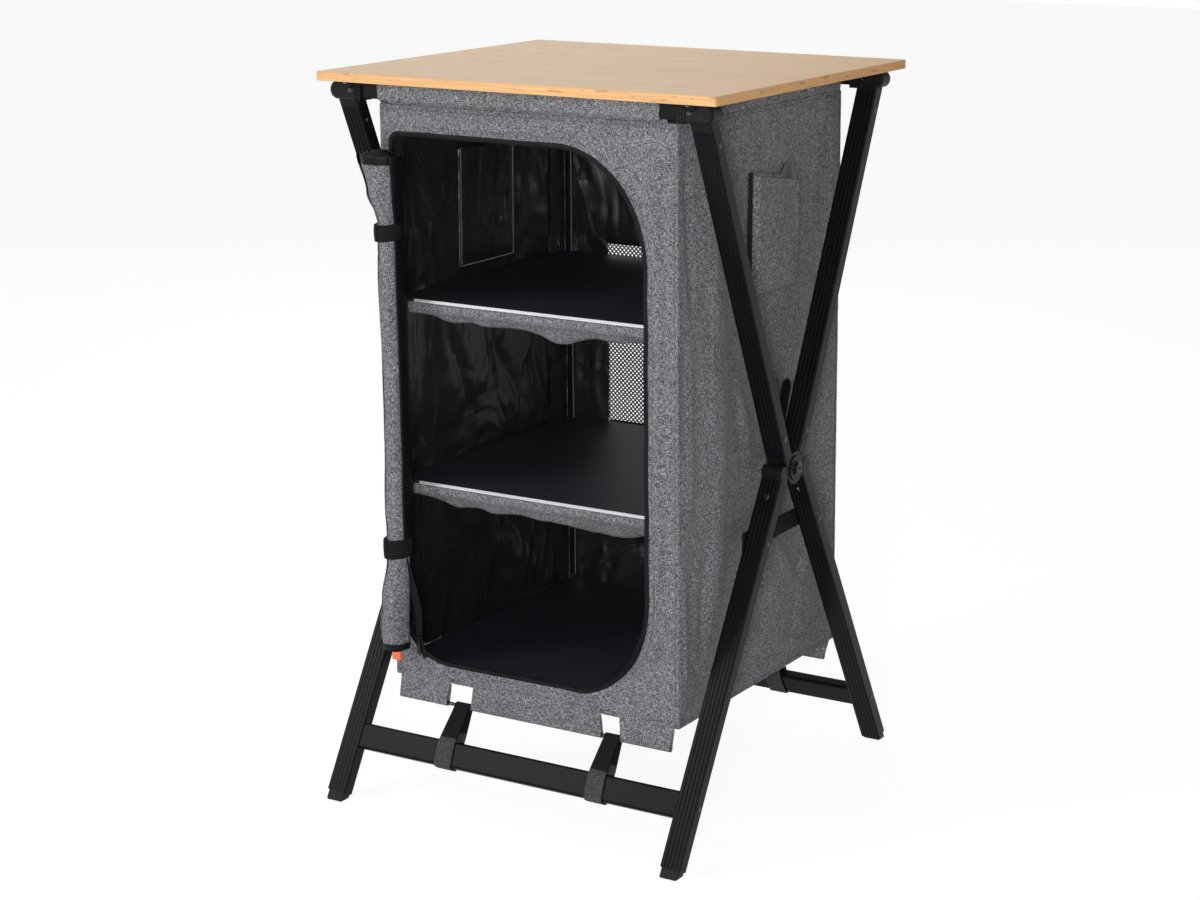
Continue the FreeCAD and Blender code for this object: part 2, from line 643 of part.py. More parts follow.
def sleeve():
    """Cloth sleeve round the front top bar, with the tail that the front cloth hangs from."""
    half = LEG_PLANE_X - BRACKET_INNER - SLEEVE_END_GAP
    outer_size = 2 * SLEEVE_OUT
    inner_size = TOP_BAR_SIZE + 2 * SLEEVE_GAP
    ring = Part.Face(rounded_rect(outer_size, outer_size, BAR_CORNER_R + CLOTH)).extrude(Vec(0, 0, 2 * half))
    ring.rotate(ORIGIN, Y_AXIS, 90)
    ring.translate(Vec(-half, BAR_Y, BAR_Z))
    tail_y = FRONT_TOP_Y
    tail = box(-half, tail_y - CLOTH, PANEL_TOP_Z + HANG_GAP, half, tail_y + CLOTH, BAR_Z)
    core = prism(rounded_rect(inner_size, inner_size, BAR_CORNER_R), Vec(0, 0, 2 * (half + CUT_PAST)))
    core.rotate(ORIGIN, Y_AXIS, 90)
    core.translate(Vec(-half - CUT_PAST, BAR_Y, BAR_Z))
    return ring.fuse(tail).cut(core).removeSplitter()


def bottom_bar():
    """Flat front bottom bar between the legs, closed at its ends."""
    half = LEG_INNER_X - BAR_END_GAP
    outer = block(BOTTOM_BAR_DEPTH, BOTTOM_BAR_WIDTH, BOTTOM_BAR_R, -half, half)
    depth, width = BOTTOM_BAR_DEPTH - 2 * BOTTOM_BAR_WALL, BOTTOM_BAR_WIDTH - 2 * BOTTOM_BAR_WALL
    inner = block(depth, width, BOTTOM_BAR_R - BOTTOM_BAR_WALL, BAR_END_PLUG - half, half - BAR_END_PLUG)
    bar = outer.cut(inner)
    for sign in (-1, 1):
        hole = cylinder(RIVET_R + RIVET_HOLE_GAP, Vec(0, 0, sign * half), Z_AXIS * -sign, BAR_SCREW_HOLE)
        bar = bar.cut(hole)
    bar.rotate(ORIGIN, Y_AXIS, 90)
    bar.rotate(ORIGIN, X_AXIS, 90)
    bar.translate(Vec(-LEG_PLANE_X, -LOWER_OFFSET, -BOTTOM_BAR_AT))
    return along_lower(bar)


def foot():
    """Plastic foot plugged into the front right lower leg, cut flat on the floor."""
    pad = block(PLUG_WIDTH, PLUG_DEPTH, FOOT_R, -LOWER_REACH - TUBE_DEPTH, -LOWER_TUBE_END, -LOWER_OFFSET)
    plug = block(PLUG_WIDTH, PLUG_DEPTH, PLUG_R, -LOWER_TUBE_END, -LOWER_TUBE_END + FOOT_PLUG, -LOWER_OFFSET)
    body = along_lower(fuse([pad, plug]))
    floor = box(0, -TABLE_DEPTH, -BOTTOM_BAR_Z, TABLE_WIDTH, 0, 0)
    body = body.cut(floor)
    rim = [edge for edge in body.Edges if edge.BoundBox.ZMax < FLAT]
    return body.makeChamfer(FOOT_EDGE, rim)


def rivet(start, direction, span):
    """Rivet through a span, with a low head at each end."""
    unit = Vec(direction)
    unit.normalize()
    pieces = [cylinder(RIVET_R, start, unit, span)]
    pieces.append(rivet_head(start, unit * -1))
    pieces.append(rivet_head(start + unit * span, unit))
    return fuse(pieces)


def rivet_head(point, away):
    """Low tapered rivet head."""
    return Part.makeCone(RIVET_HEAD_R, RIVET_HEAD_TOP_R, RIVET_HEAD_HEIGHT, point, away)


def cross_rivet(y, z, x0=-TUBE_WIDTH / 2, x1=TUBE_WIDTH / 2):
    """Rivet across a leg from x0 to x1, in leg coordinates."""
    return rivet(Vec(x0, y, z), X_AXIS, x1 - x0)


def upper_rivets():
    """Rivets of the front right upper leg and the screw of its top bracket."""
    rivets = [along_upper(cross_rivet(-UPPER_OFFSET, station)) for station in UPPER_RIVETS]
    x = LEG_PLANE_X - BRACKET_INNER + BRACKET_SCREW_AT
    rivets.append(rivet(Vec(x, BAR_Y - BRACKET_DEPTH / 2, BAR_Z), Y_AXIS, BRACKET_DEPTH))
    return rivets


def lower_rivets():
    """Rivets of the front right lower leg, its bar screw and its spreader rivet."""
    y = -LOWER_OFFSET
    hub = along_lower(rivet(Vec(0, y - TUBE_DEPTH / 2, -LOWER_RIVET), Y_AXIS, TUBE_DEPTH))
    spreader = cross_rivet(y, -SPREADER_AT, -TUBE_WIDTH / 2 - SPREADER_THICKNESS - FACE_GAP)
    inside = TUBE_WIDTH / 2 + BAR_END_GAP + BAR_SCREW_GRIP
    shank = cylinder(RIVET_R, Vec(-inside, y, -BOTTOM_BAR_AT), X_AXIS, inside + TUBE_WIDTH / 2)
    head = rivet_head(Vec(TUBE_WIDTH / 2, y, -BOTTOM_BAR_AT), X_AXIS)
    return [hub, along_lower(spreader), along_lower(fuse([shank, head]))]


def plate_pin():
    """Rivet that holds a lock plate to the inner hub half."""
    start = Vec(PLATE_X - LEG_PLANE_X, -UPPER_OFFSET / 2, PLATE_PIN_AT)
    span = LEG_PLANE_X - LAP_GAP / 2 - PLATE_X - RIVET_HEAD_HEIGHT
    shank = cylinder(RIVET_R, start, X_AXIS, span)
    head = rivet_head(start, X_AXIS * -1)
    return mirror_y(along_upper(fuse([shank, head])))


# Webbing

def hull(points):
    """Points on the outline round a set of points in the plane across x, in order."""
    ordered = sorted(points, key=lambda point: (point.y, point.z))
    loop = []
    for row in (ordered, ordered[::-1]):
        chain = []
        for point in row:
            while len(chain) > 1 and (chain[-1] - chain[-2]).cross(point - chain[-1]).x <= 0:
                chain.pop()
            chain.append(Vec(0, point.y, point.z))
        loop += chain[:-1]
    return loop


def bottom_strap(x, rod):
    """Webbing loop from the hem rod, given as a point, round the front bottom bar."""
    w, d = BOTTOM_BAR_WIDTH / 2, BOTTOM_BAR_DEPTH / 2
    corners = [(sy * d, sz * w) for sy in (-1, 1) for sz in (-1, 1)]
    bar = [along_lower(Part.Vertex(Vec(0, dy - LOWER_OFFSET, dz - BOTTOM_BAR_AT))).Point for dy, dz in corners]
    rod_square = [Vec(0, rod.y + sy * ROD_R, rod.z + sz * ROD_R) for sy in (-1, 1) for sz in (-1, 1)]
    loop = hull(bar + rod_square)
    wire = Part.makePolygon(loop + [loop[0]])
    inner = wire.makeOffset2D(STRAP_GAP)
    outer = wire.makeOffset2D(STRAP_GAP + STRAP_THICKNESS)
    band = Part.Face(outer).cut(Part.Face(inner)).extrude(Vec(STRAP_WIDTH, 0, 0))
    band.translate(Vec(x - STRAP_WIDTH / 2, 0, 0))
    return band


def spreader_strap():
    """Webbing between the right lower legs, which stops them spreading."""
    z = PIVOT_Z - SPREADER_BELOW
    reach = SPREADER_AT * sin(LOWER_LEAN) + LOWER_OFFSET * cos(LOWER_LEAN)
    x1 = LEG_INNER_X - FACE_GAP
    end = SPREADER_WIDTH / 2
    strap = box(x1 - SPREADER_THICKNESS, -reach - end, z - end, x1, reach + end, z + end)
    for sign in (-1, 1):
        start = Vec(x1 - SPREADER_THICKNESS - CUT_PAST, sign * reach, z)
        hole = cylinder(RIVET_R + RIVET_HOLE_GAP, start, X_AXIS, SPREADER_THICKNESS + 2 * CUT_PAST)
        strap = strap.cut(hole)
    return strap


# Cloth cupboard

def doorway(grow, y):
    """Outline of the doorway in cloth coordinates, grown outwards by a margin."""
    left, right = DOOR_LEFT - grow, DOOR_RIGHT + grow
    low, high = DOOR_BOTTOM - grow, DOOR_TOP + grow
    corners = [Vec(left, y, low), Vec(right, y, low), Vec(right, y, high), Vec(left, y, high)]
    radii = [DOOR_R_BOTTOM_LEFT, DOOR_R_BOTTOM_RIGHT, DOOR_R_TOP_RIGHT, DOOR_R_TOP_LEFT]
    return rounded_wire(corners, [radius + grow for radius in radii])


def front_panel():
    """Front cloth with the doorway."""
    height = math.hypot(PANEL_RISE, FRONT_SLOPE)
    sheet = box(-BODY_HALF, 0, 0, BODY_HALF, CLOTH, height)
    return on_front(sheet.cut(prism(doorway(0.0, -1.0), Vec(0, CLOTH + 2, 0))))


def back_panel():
    """Back cloth with the window for the net."""
    height = math.hypot(PANEL_RISE, BACK_SLOPE)
    sheet = box(-BODY_HALF, -CLOTH, 0, BODY_HALF, 0, height)
    window = box(-NET_HALF_WIDTH, -CLOTH - 1, NET_BOTTOM, NET_HALF_WIDTH, 1, NET_TOP)
    return on_back(sheet.cut(window))


def net_window():
    """Net in the back window: one sheet with a grid of gaps."""
    width = 2 * NET_HALF_WIDTH
    pitch_x = (width - NET_STRAND) / NET_COLUMNS
    pitch_z = (NET_TOP - NET_BOTTOM - NET_STRAND) / NET_ROWS
    y = -(CLOTH + NET_THICKNESS) / 2
    rim = [Vec(-NET_HALF_WIDTH, y, NET_BOTTOM), Vec(NET_HALF_WIDTH, y, NET_BOTTOM),
           Vec(NET_HALF_WIDTH, y, NET_TOP), Vec(-NET_HALF_WIDTH, y, NET_TOP)]
    wires = [Part.makePolygon(rim + [rim[0]])]
    for column in range(NET_COLUMNS):
        for row in range(NET_ROWS):
            x0 = -NET_HALF_WIDTH + NET_STRAND + column * pitch_x
            z0 = NET_BOTTOM + NET_STRAND + row * pitch_z
            x1, z1 = x0 + pitch_x - NET_STRAND, z0 + pitch_z - NET_STRAND
            gap = [Vec(x0, y, z0), Vec(x1, y, z0), Vec(x1, y, z1), Vec(x0, y, z1)]
            wires.append(Part.makePolygon(gap + [gap[0]]))
    face = Part.makeFace(Part.makeCompound(wires), "Part::FaceMakerBullseye")
    return on_back(face.extrude(Vec(0, NET_THICKNESS, 0)))


def side_panel():
    """Right side cloth, between the front and back cloths."""
    x = BODY_HALF - CLOTH
    inset = CLOTH + SNUG
    low, high = HEM_Z, PANEL_TOP_Z
    points = [Vec(x, front_y(low) + inset, low), Vec(x, back_y(low) - inset, low),
              Vec(x, back_y(high) - inset, high), Vec(x, front_y(high) + inset, high)]
    return plate(points, Vec(CLOTH, 0, 0))


def level_cloth(z):
    """Level cloth between the four walls, with its underside at z."""
    x = BODY_HALF - CLOTH - SNUG
    inset = CLOTH + FACE_GAP
    return box(-x, front_y(z) + inset, z, x, back_y(z + CLOTH) - inset, z + CLOTH)


def board_extent(z):
    """Front and back of the board that lies with its top at z."""
    return front_y(z) + CLOTH + BOARD_FRONT_GAP + 2 * CLOTH, back_y(z) - CLOTH - BOARD_SIDE_GAP


def shelf_board(top_z):
    """Shelf board with rounded corners, top at top_z."""
    y0, y1 = board_extent(top_z)
    half = BODY_HALF - CLOTH - BOARD_SIDE_GAP
    outline = rounded_rect(2 * half, y1 - y0, BOARD_CORNER_R, top_z - BOARD_THICKNESS, 0.0, (y0 + y1) / 2)
    return prism(outline, Vec(0, 0, BOARD_THICKNESS))


def edge_strip(top_z):
    """Pale strip on a board's front edge."""
    y0, _ = board_extent(top_z)
    half = BODY_HALF - CLOTH - BOARD_SIDE_GAP - BOARD_CORNER_R
    return box(-half, y0 - EDGE_STRIP, top_z - BOARD_THICKNESS, half, y0, top_z)


def fold_section(half, y, z, sway):
    """Level section through a cloth edge that swings in and out by sway, as a closed wire."""
    step = 2 * half / VALANCE_FOLDS
    edges = []
    for index in range(VALANCE_FOLDS):
        x = -half + index * step
        swing = sway if index % 2 else -sway
        edges.append(Part.Arc(Vec(x, y, z), Vec(x + step / 2, y + swing, z), Vec(x + step, y, z)).toShape())
    back = [edge.translated(Vec(0, CLOTH, 0)) for edge in reversed(edges)]
    ends = [Part.LineSegment(Vec(x, y, z), Vec(x, y + CLOTH, z)).toShape() for x in (half, -half)]
    return Part.Wire(edges + [ends[0]] + back + [ends[1]])


def shelf_sling(top_z, drop):
    """Cloth shelf that carries a board, with the folded valance that hangs at its front."""
    z = top_z - BOARD_THICKNESS - BOARD_LAY_GAP
    y0, _ = board_extent(top_z)
    front = y0 - EDGE_STRIP - CLOTH - BOARD_LAY_GAP
    x = BODY_HALF - CLOTH - SNUG
    deck = box(-x, front + CLOTH / 2, z - CLOTH, x, back_y(z) - CLOTH - FACE_GAP, z)
    low, dip = z - VALANCE_END_DROP, z - drop
    sections = [fold_section(x, front, dip - CUT_PAST, VALANCE_SWAY), fold_section(x, front, z, VALANCE_TOP_SWAY)]
    folds = Part.makeLoft(sections, True, True)
    near = front - 2 * VALANCE_SWAY
    inner, outer = x - VALANCE_END_WIDTH, x - VALANCE_END_WIDTH / 2
    knee = low + (dip - low) * VALANCE_KNEE
    half = [(x, z), (x, low), (outer, knee), (inner, dip)]
    corners = [Vec(px, near, pz) for px, pz in half] + [Vec(-px, near, pz) for px, pz in reversed(half)]
    shape = plate(corners, Vec(0, 4 * VALANCE_SWAY, 0))
    return fuse([deck, folds.common(shape)])


SLIDER_X = DOOR_LEFT + SLIDER_IN
SLIDER_H = DOOR_BOTTOM + SLIDER_ABOVE


def zip_tail():
    """Loose length of tape from the doorway's left edge past the slider to the corner below it."""
    y = -ZIP_TAPE_THICKNESS
    turn = DOOR_R_BOTTOM_LEFT + ZIP_TAPE_WIDTH / 2
    corner_x, corner_h = DOOR_LEFT + DOOR_R_BOTTOM_LEFT, DOOR_BOTTOM + DOOR_R_BOTTOM_LEFT
    start = Vec(DOOR_LEFT - ZIP_TAPE_WIDTH / 2, y, DOOR_BOTTOM + ZIP_TAIL_FROM)
    slider = Vec(SLIDER_X, y, SLIDER_H)
    end = Vec(corner_x - turn * cos(ZIP_TAIL_END_TURN), y, corner_h - turn * sin(ZIP_TAIL_END_TURN))
    half = Vec(ZIP_TAIL_WIDTH / 2, 0, 0)
    left, right = (Part.Arc(start + side, slider + side, end + side).toShape() for side in (-half, half))
    return Part.makeRuledSurface(left, right).extrude(Vec(0, ZIP_TAPE_THICKNESS, 0))


def zip_tape():
    """Zip tape round the doorway on the front cloth, and the loose end that leads to the rolled door."""
    outer = Part.Face(doorway(ZIP_TAPE_WIDTH, -ZIP_TAPE_THICKNESS))
    ring = outer.cut(Part.Face(doorway(0.0, -ZIP_TAPE_THICKNESS))).extrude(Vec(0, ZIP_TAPE_THICKNESS, 0))
    return on_front(fuse([ring, zip_tail()]))


def roll_wire(share, offset, radius):
    """Section of the rolled door at a share of the doorway's height: a spiral turn with its step."""
    x, height = DOOR_LEFT + offset, DOOR_BOTTOM + share * DOOR_RISE
    y = -ROLL_OFF_CLOTH - radius * ROLL_STEP
    turns = 3
    points = []
    for index in range(2 * turns + 1):
        share = index / (2 * turns)
        angle = 360 * share + 200
        reach = radius * (1 + (ROLL_STEP - 1) * share)
        points.append(Vec(x + reach * cos(angle), y + reach * sin(angle), height))
    edges = [Part.Arc(points[2 * i], points[2 * i + 1], points[2 * i + 2]).toShape() for i in range(turns)]
    edges.append(Part.LineSegment(points[-1], points[0]).toShape())
    return Part.Wire(edges)


def rolled_door():
    """Door cloth rolled up beside the doorway."""
    return on_front(Part.makeLoft([roll_wire(*station) for station in ROLL_STATIONS], True, True))


def door_tie(share):
    """Webbing ring round the rolled door, with the radius of the nearest station."""
    nearest = min(ROLL_STATIONS, key=lambda station: abs(station[0] - share))
    x, radius = DOOR_LEFT + nearest[1], nearest[2]
    height = DOOR_BOTTOM + share * DOOR_RISE
    inner = radius * ROLL_STEP + TIE_GAP
    centre = Vec(x, -ROLL_OFF_CLOTH - radius * ROLL_STEP, height - TIE_WIDTH / 2)
    ring = cylinder(inner + TIE_THICKNESS, centre, Z_AXIS, TIE_WIDTH)
    ring = ring.cut(cylinder(inner, centre - Z_AXIS, Z_AXIS, TIE_WIDTH + 2))
    return on_front(ring)


SLIDER_TOP = -ZIP_TAPE_THICKNESS - SLIDER_HEIGHT
PULL_H = SLIDER_H - SLIDER_LENGTH / 2 + SLIDER_PIN_RISE


def zip_slider():
    """Slider on the zip at the foot of the doorway, with the bridge that its pull hangs from."""
    y0, y1 = SLIDER_TOP + SLIDER_STEP, -ZIP_TAPE_THICKNESS
    w, h = SLIDER_WIDTH / 2, SLIDER_LENGTH / 2
    half = [(w, h), (w, -h * SLIDER_WAIST), (w * SLIDER_NOSE, -h)]
    places = half + [(-x, z) for x, z in reversed(half)]
    body = plate([Vec(SLIDER_X + x, y0, SLIDER_H + z) for x, z in places], Vec(0, y1 - y0, 0))
    pin_y = SLIDER_TOP - PULL_PIN_OUT
    pin = cylinder(PULL_PIN_R, Vec(SLIDER_X - w, pin_y, PULL_H), X_AXIS, 2 * w)
    r, t = SLIDER_EAR_R, SLIDER_EAR_THICKNESS
    starts = (SLIDER_X - w, SLIDER_X + w - t)
    ears = [box(x, pin_y - r, PULL_H - r, x + t, SLIDER_TOP + r, PULL_H + r) for x in starts]
    return on_front(fuse([body, pin] + ears))


def zip_pull():
    """Pull tab hanging straight down from the slider's pin."""
    pin = on_front(Part.Vertex(Vec(SLIDER_X, SLIDER_TOP - PULL_PIN_OUT, PULL_H))).Point
    w, t = PULL_WIDTH / 2, PULL_THICKNESS / 2
    bore_r = PULL_PIN_R + PULL_PIN_GAP
    eye = cylinder(bore_r + PULL_EYE_WALL, pin - Vec(w, 0, 0), X_AXIS, PULL_WIDTH)
    tab = box(pin.x - w, pin.y - t, pin.z - PULL_LENGTH, pin.x + w, pin.y + t, pin.z)
    bore = cylinder(bore_r, pin - Vec(w + CUT_PAST, 0, 0), X_AXIS, PULL_WIDTH + 2 * CUT_PAST)
    return fuse([eye, tab]).cut(bore)


def back_place(shape):
    """From the front's cloth coordinates to the outer face of the sloping back."""
    return on_back(mirror_y(shape))


def tunnel_section():
    """Section of a hem tunnel: a loop of cloth round the rod, sewn to itself under the hem."""
    radius = ROD_R + ROD_GAP
    apex = Vec(0, 0, -CLOTH - HANG_GAP)
    centre = Vec(0, radius, -ROD_DROP)
    front = Vec(0, 0, -ROD_DROP)
    axis = (centre - apex).normalize()
    back = apex + axis * (2 * (front - apex).dot(axis)) - (front - apex)
    loop = Part.Wire([Part.LineSegment(apex, front).toShape(),
                      Part.Arc(front, centre - Z_AXIS * radius, back).toShape(),
                      Part.LineSegment(back, apex).toShape()])
    return Part.Face(loop.makeOffset2D(CLOTH)).cut(Part.Face(loop))


def hem_tunnels(on_side):
    """Tunnels that hang from the hem, sewn to its outer face."""
    reach = -TUNNELS[0][0] * BODY_HALF
    loop = tunnel_section().extrude(Vec(2 * reach, 0, 0))
    loop.translate(Vec(-reach, 0, 0))
    front = box(-reach, -CLOTH, -ROD_DROP, reach, 0, TUNNEL_LAP)
    band = fuse([loop, front])
    tunnels = []
    for shares in TUNNELS:
        low0, low1, high0, high1 = (share * BODY_HALF for share in shares)
        low = -ROD_DROP - 2 * ROD_R - 2 * CLOTH
        near = -TUNNEL_LAP
        outline = [Vec(low0, near, low), Vec(low1, near, low), Vec(high1, near, TUNNEL_LAP),
                   Vec(high0, near, TUNNEL_LAP)]
        tunnels.append(on_side(band.common(plate(outline, Vec(0, ROD_DROP, 0)))))
    return tunnels


def rod_point(on_side):
    """Middle of the hem rod on one side."""
    return on_side(Part.Vertex(Vec(0, ROD_R + ROD_GAP, -ROD_DROP))).Point


def hem_rod(on_side):
    """Rod in the tunnels of one side."""
    start = rod_point(on_side) - Vec(ROD_HALF_LENGTH, 0, 0)
    return cylinder(ROD_R, start, X_AXIS, 2 * ROD_HALF_LENGTH)


def top_cloth():
    """Upper edge of the right side cloth, loose between the top bars."""
    y = -FRONT_TOP_Y - CLOTH - HANG_GAP
    z0, z1 = PANEL_TOP_Z + HANG_GAP, TABLE_UNDER_Z - TOP_CLOTH_BELOW_TABLE
    return box(BODY_HALF - CLOTH, -y, z0, BODY_HALF, y, z1)


def side_pocket():
    """Open-topped cloth pocket on the right side."""
    x0, x1 = BODY_HALF, BODY_HALF + SIDE_POCKET_ROOM + CLOTH
    y0, y1 = SIDE_POCKET_FRONT, SIDE_POCKET_BACK
    low = UPPER_SHELF_Z + SIDE_POCKET_ABOVE_SHELF
    top = PANEL_TOP_Z - SIDE_POCKET_BELOW_TOP

    def outline(inset):
        return [Vec(x0, y0 + inset, low + inset), Vec(x0, y1 - inset, low + inset),
                Vec(x0, y1 - inset, top - SIDE_POCKET_SLANT + inset), Vec(x0, y0 + inset, top + inset)]

    shell = plate(outline(0.0), Vec(x1 - x0, 0, 0))
    return shell.cut(plate(outline(CLOTH), Vec(x1 - x0 - CLOTH, 0, 0)))


def inner_pocket():
    """Open-topped cloth pocket on the inside of the left side."""
    x0 = -BODY_HALF + CLOTH
    x1 = x0 + INNER_POCKET_ROOM + CLOTH
    low, top = UPPER_SHELF_Z + INNER_POCKET_ABOVE_SHELF, PANEL_TOP_Z - INNER_POCKET_BELOW_TOP
    shell = box(x0, INNER_POCKET_FRONT, low, x1, INNER_POCKET_BACK, top)
    front, back = INNER_POCKET_FRONT + CLOTH, INNER_POCKET_BACK - CLOTH
    room = box(x0 - CUT_PAST, front, low + CLOTH, x1 - CLOTH, back, top + CUT_PAST)
    return shell.cut(room)


def side_tab():
    """Plain tab sewn to the left edge of the front."""
    x = -BODY_HALF - SIDE_TAB_SHOW
    low = SIDE_TAB_ABOVE_HEM
    return on_front(box(x, -CLOTH - FACE_GAP, low, x + SIDE_TAB_WIDTH, -FACE_GAP, low + SIDE_TAB_HEIGHT))


# Tabletop

def tabletop():
    """Wooden top with eased edges and screw holes for its lips."""
    outline = rounded_rect(TABLE_WIDTH, TABLE_DEPTH, TABLE_CORNER_R, TABLE_UNDER_Z, 0.0, TABLE_SHIFT_BACK)
    top = prism(outline, Vec(0, 0, TABLE_THICKNESS))
    rims = [edge for edge in top.Edges if edge.BoundBox.ZLength < FLAT]
    top = top.makeChamfer(TABLE_EDGE, rims)
    for x, y in screw_places():
        start = Vec(x, y, TABLE_UNDER_Z - CUT_PAST)
        top = top.cut(cylinder(SCREW_R + SNUG, start, Z_AXIS, SCREW_LENGTH + CUT_PAST + SCREW_TIP_GAP))
    return top


LIP_Y = BAR_Y - BRACKET_DEPTH / 2 - LIP_CLEARANCE - RIVET_HEAD_HEIGHT


def screw_places():
    """Middles of the four lip screws."""
    y = LIP_Y - LIP_FLANGE / 2
    return [(sx * LIP_X, sy * y) for sx in (-1, 1) for sy in (-1, 1)]


def lip():
    """Front right angle lip under the top."""
    x0, x1 = LIP_X - LIP_WIDTH / 2, LIP_X + LIP_WIDTH / 2
    flange = box(x0, LIP_Y - LIP_FLANGE, TABLE_UNDER_Z - LIP_THICKNESS, x1, LIP_Y, TABLE_UNDER_Z)
    web = box(x0, LIP_Y - LIP_THICKNESS, TABLE_UNDER_Z - LIP_DEPTH, x1, LIP_Y, TABLE_UNDER_Z)
    start = Vec(LIP_X, LIP_Y - LIP_FLANGE / 2, TABLE_UNDER_Z - LIP_THICKNESS - CUT_PAST)
    hole = cylinder(SCREW_R + RIVET_HOLE_GAP, start, Z_AXIS, LIP_THICKNESS + 2 * CUT_PAST)
    return fuse([flange, web]).cut(hole)


def lip_screw(x, y):
    """Screw with a low head that holds a lip."""
    head_z = TABLE_UNDER_Z - LIP_THICKNESS
    shank = cylinder(SCREW_R, Vec(x, y, head_z), Z_AXIS, SCREW_LENGTH)
    head = Part.makeCone(SCREW_HEAD_TOP_R, SCREW_HEAD_R, SCREW_HEAD_HEIGHT, Vec(x, y, head_z - SCREW_HEAD_HEIGHT))
    return fuse([shank, head])


def both_sides(shapes):
    """A list of right-hand pieces with their left-hand copies."""
    return list(shapes) + [mirror_x(shape) for shape in shapes]


def build():
    """All nodes by name, each a list of solids."""
    nodes = {}
    frames = {"front": lambda shape: shape, "rear": mirror_y}
    places = {"front": on_front, "rear": back_place}
    hands = {"right": lambda shape: shape, "left": mirror_x}
    parts = {"upper_leg": upper_leg(), "lower_leg": lower_leg(), "top_bracket": corner_bracket()}
    for end, to_end in frames.items():
        for hand, to_hand in hands.items():
            for name, shape in parts.items():
                nodes[f"{end}_{name}_{hand}"] = [to_hand(to_end(shape))]
        nodes[f"{end}_top_bar"] = [to_end(top_bar())]
        nodes[f"{end}_top_sleeve"] = [to_end(sleeve())]
        nodes[f"{end}_bottom_bar"] = [to_end(bottom_bar())]
        nodes[f"{end}_feet"] = [to_end(shape) for shape in both_sides([foot()])]
        rod = to_end(Part.Vertex(rod_point(places[end]))).Point
        nodes[f"{end}_bottom_straps"] = [to_end(bottom_strap(share * BODY_HALF, rod)) for share in STRAP_PLACES]
        nodes[f"{end}_hem_tunnels"] = hem_tunnels(places[end])
    for hand, to_hand in hands.items():
        nodes[f"outer_hub_{hand}"] = [to_hand(hub_outer())]
        nodes[f"inner_hub_{hand}"] = [to_hand(hub_inner())]
        nodes[f"lock_plate_{hand}"] = [to_hand(lock_plate())]
    back_lower = [mirror_y(shape) for shape in lower_rivets()]
    back_upper = [mirror_y(shape) for shape in upper_rivets()]
    nodes["outer_frame_rivets"] = both_sides(upper_rivets() + back_lower)
    nodes["inner_frame_rivets"] = both_sides(back_upper + lower_rivets() + [plate_pin()])
    nodes["pivot_bolts"] = both_sides(pivot_bolt())
    nodes["spreader_straps"] = both_sides([spreader_strap()])
    nodes["front_panel"] = [front_panel()]
    nodes["back_panel"] = [back_panel()]
    nodes["net_window"] = [net_window()]
    nodes["side_panel_right"] = [side_panel()]
    nodes["side_panel_left"] = [mirror_x(side_panel())]
    nodes["roof_cloth"] = [level_cloth(PANEL_TOP_Z - CLOTH - ROOF_DROP)]
    nodes["floor_cloth"] = [level_cloth(FLOOR_Z)]
    floor_board_top = FLOOR_Z + CLOTH + BOARD_LAY_GAP + BOARD_THICKNESS
    tops = {"upper_shelf": UPPER_SHELF_Z, "lower_shelf": LOWER_SHELF_Z, "floor": floor_board_top}
    for name, top_z in tops.items():
        nodes[f"{name}_board"] = [shelf_board(top_z)]
    nodes["board_edge_strips"] = [edge_strip(top_z) for top_z in tops.values()]
    nodes["upper_shelf_sling"] = [shelf_sling(UPPER_SHELF_Z, UPPER_VALANCE_DROP)]
    nodes["lower_shelf_sling"] = [shelf_sling(LOWER_SHELF_Z, LOWER_VALANCE_DROP)]
    nodes["zip_tape"] = [zip_tape()]
    nodes["zip_slider"] = [zip_slider()]
    nodes["zip_pull"] = [zip_pull()]
    nodes["rolled_door"] = [rolled_door()]
    nodes["door_ties"] = [door_tie(share) for share in TIE_SHARES]
    nodes["hem_rods"] = [hem_rod(place) for place in places.values()]
    nodes["top_side_cloth"] = both_sides([top_cloth()])
    nodes["side_pocket"] = [side_pocket()]
    nodes["inner_pocket"] = [inner_pocket()]
    nodes["side_tab"] = [side_tab()]
    nodes["tabletop"] = [tabletop()]
    lips = [lip(), mirror_y(lip())]
    nodes["tabletop_lips"] = both_sides(lips)
    nodes["tabletop_screws"] = [lip_screw(x, y) for x, y in screw_places()]
    return nodes


def main():
    """Write one STEP file for each node."""
    os.makedirs("parts", exist_ok=True)
    for name, solids in build().items():
        shape = solids[0] if len(solids) == 1 else Part.makeCompound(solids)
        for solid in shape.Solids:
            if not solid.isValid() or solid.Volume <= 0:
                print("bad solid in", name)
        if not shape.Solids:
            print("no solid in", name)
        shape.exportStep(f"parts/{name}.step")


main()
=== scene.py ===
"""Looks of the folding camping cupboard: its cloth, shelves, leg frame, wooden top, floor, light and camera."""

import bisect
import logging
import math
from dataclasses import dataclass, field
from enum import Enum
from typing import Callable, Sequence

import bmesh
import bpy
from mathutils import Matrix, Vector, noise


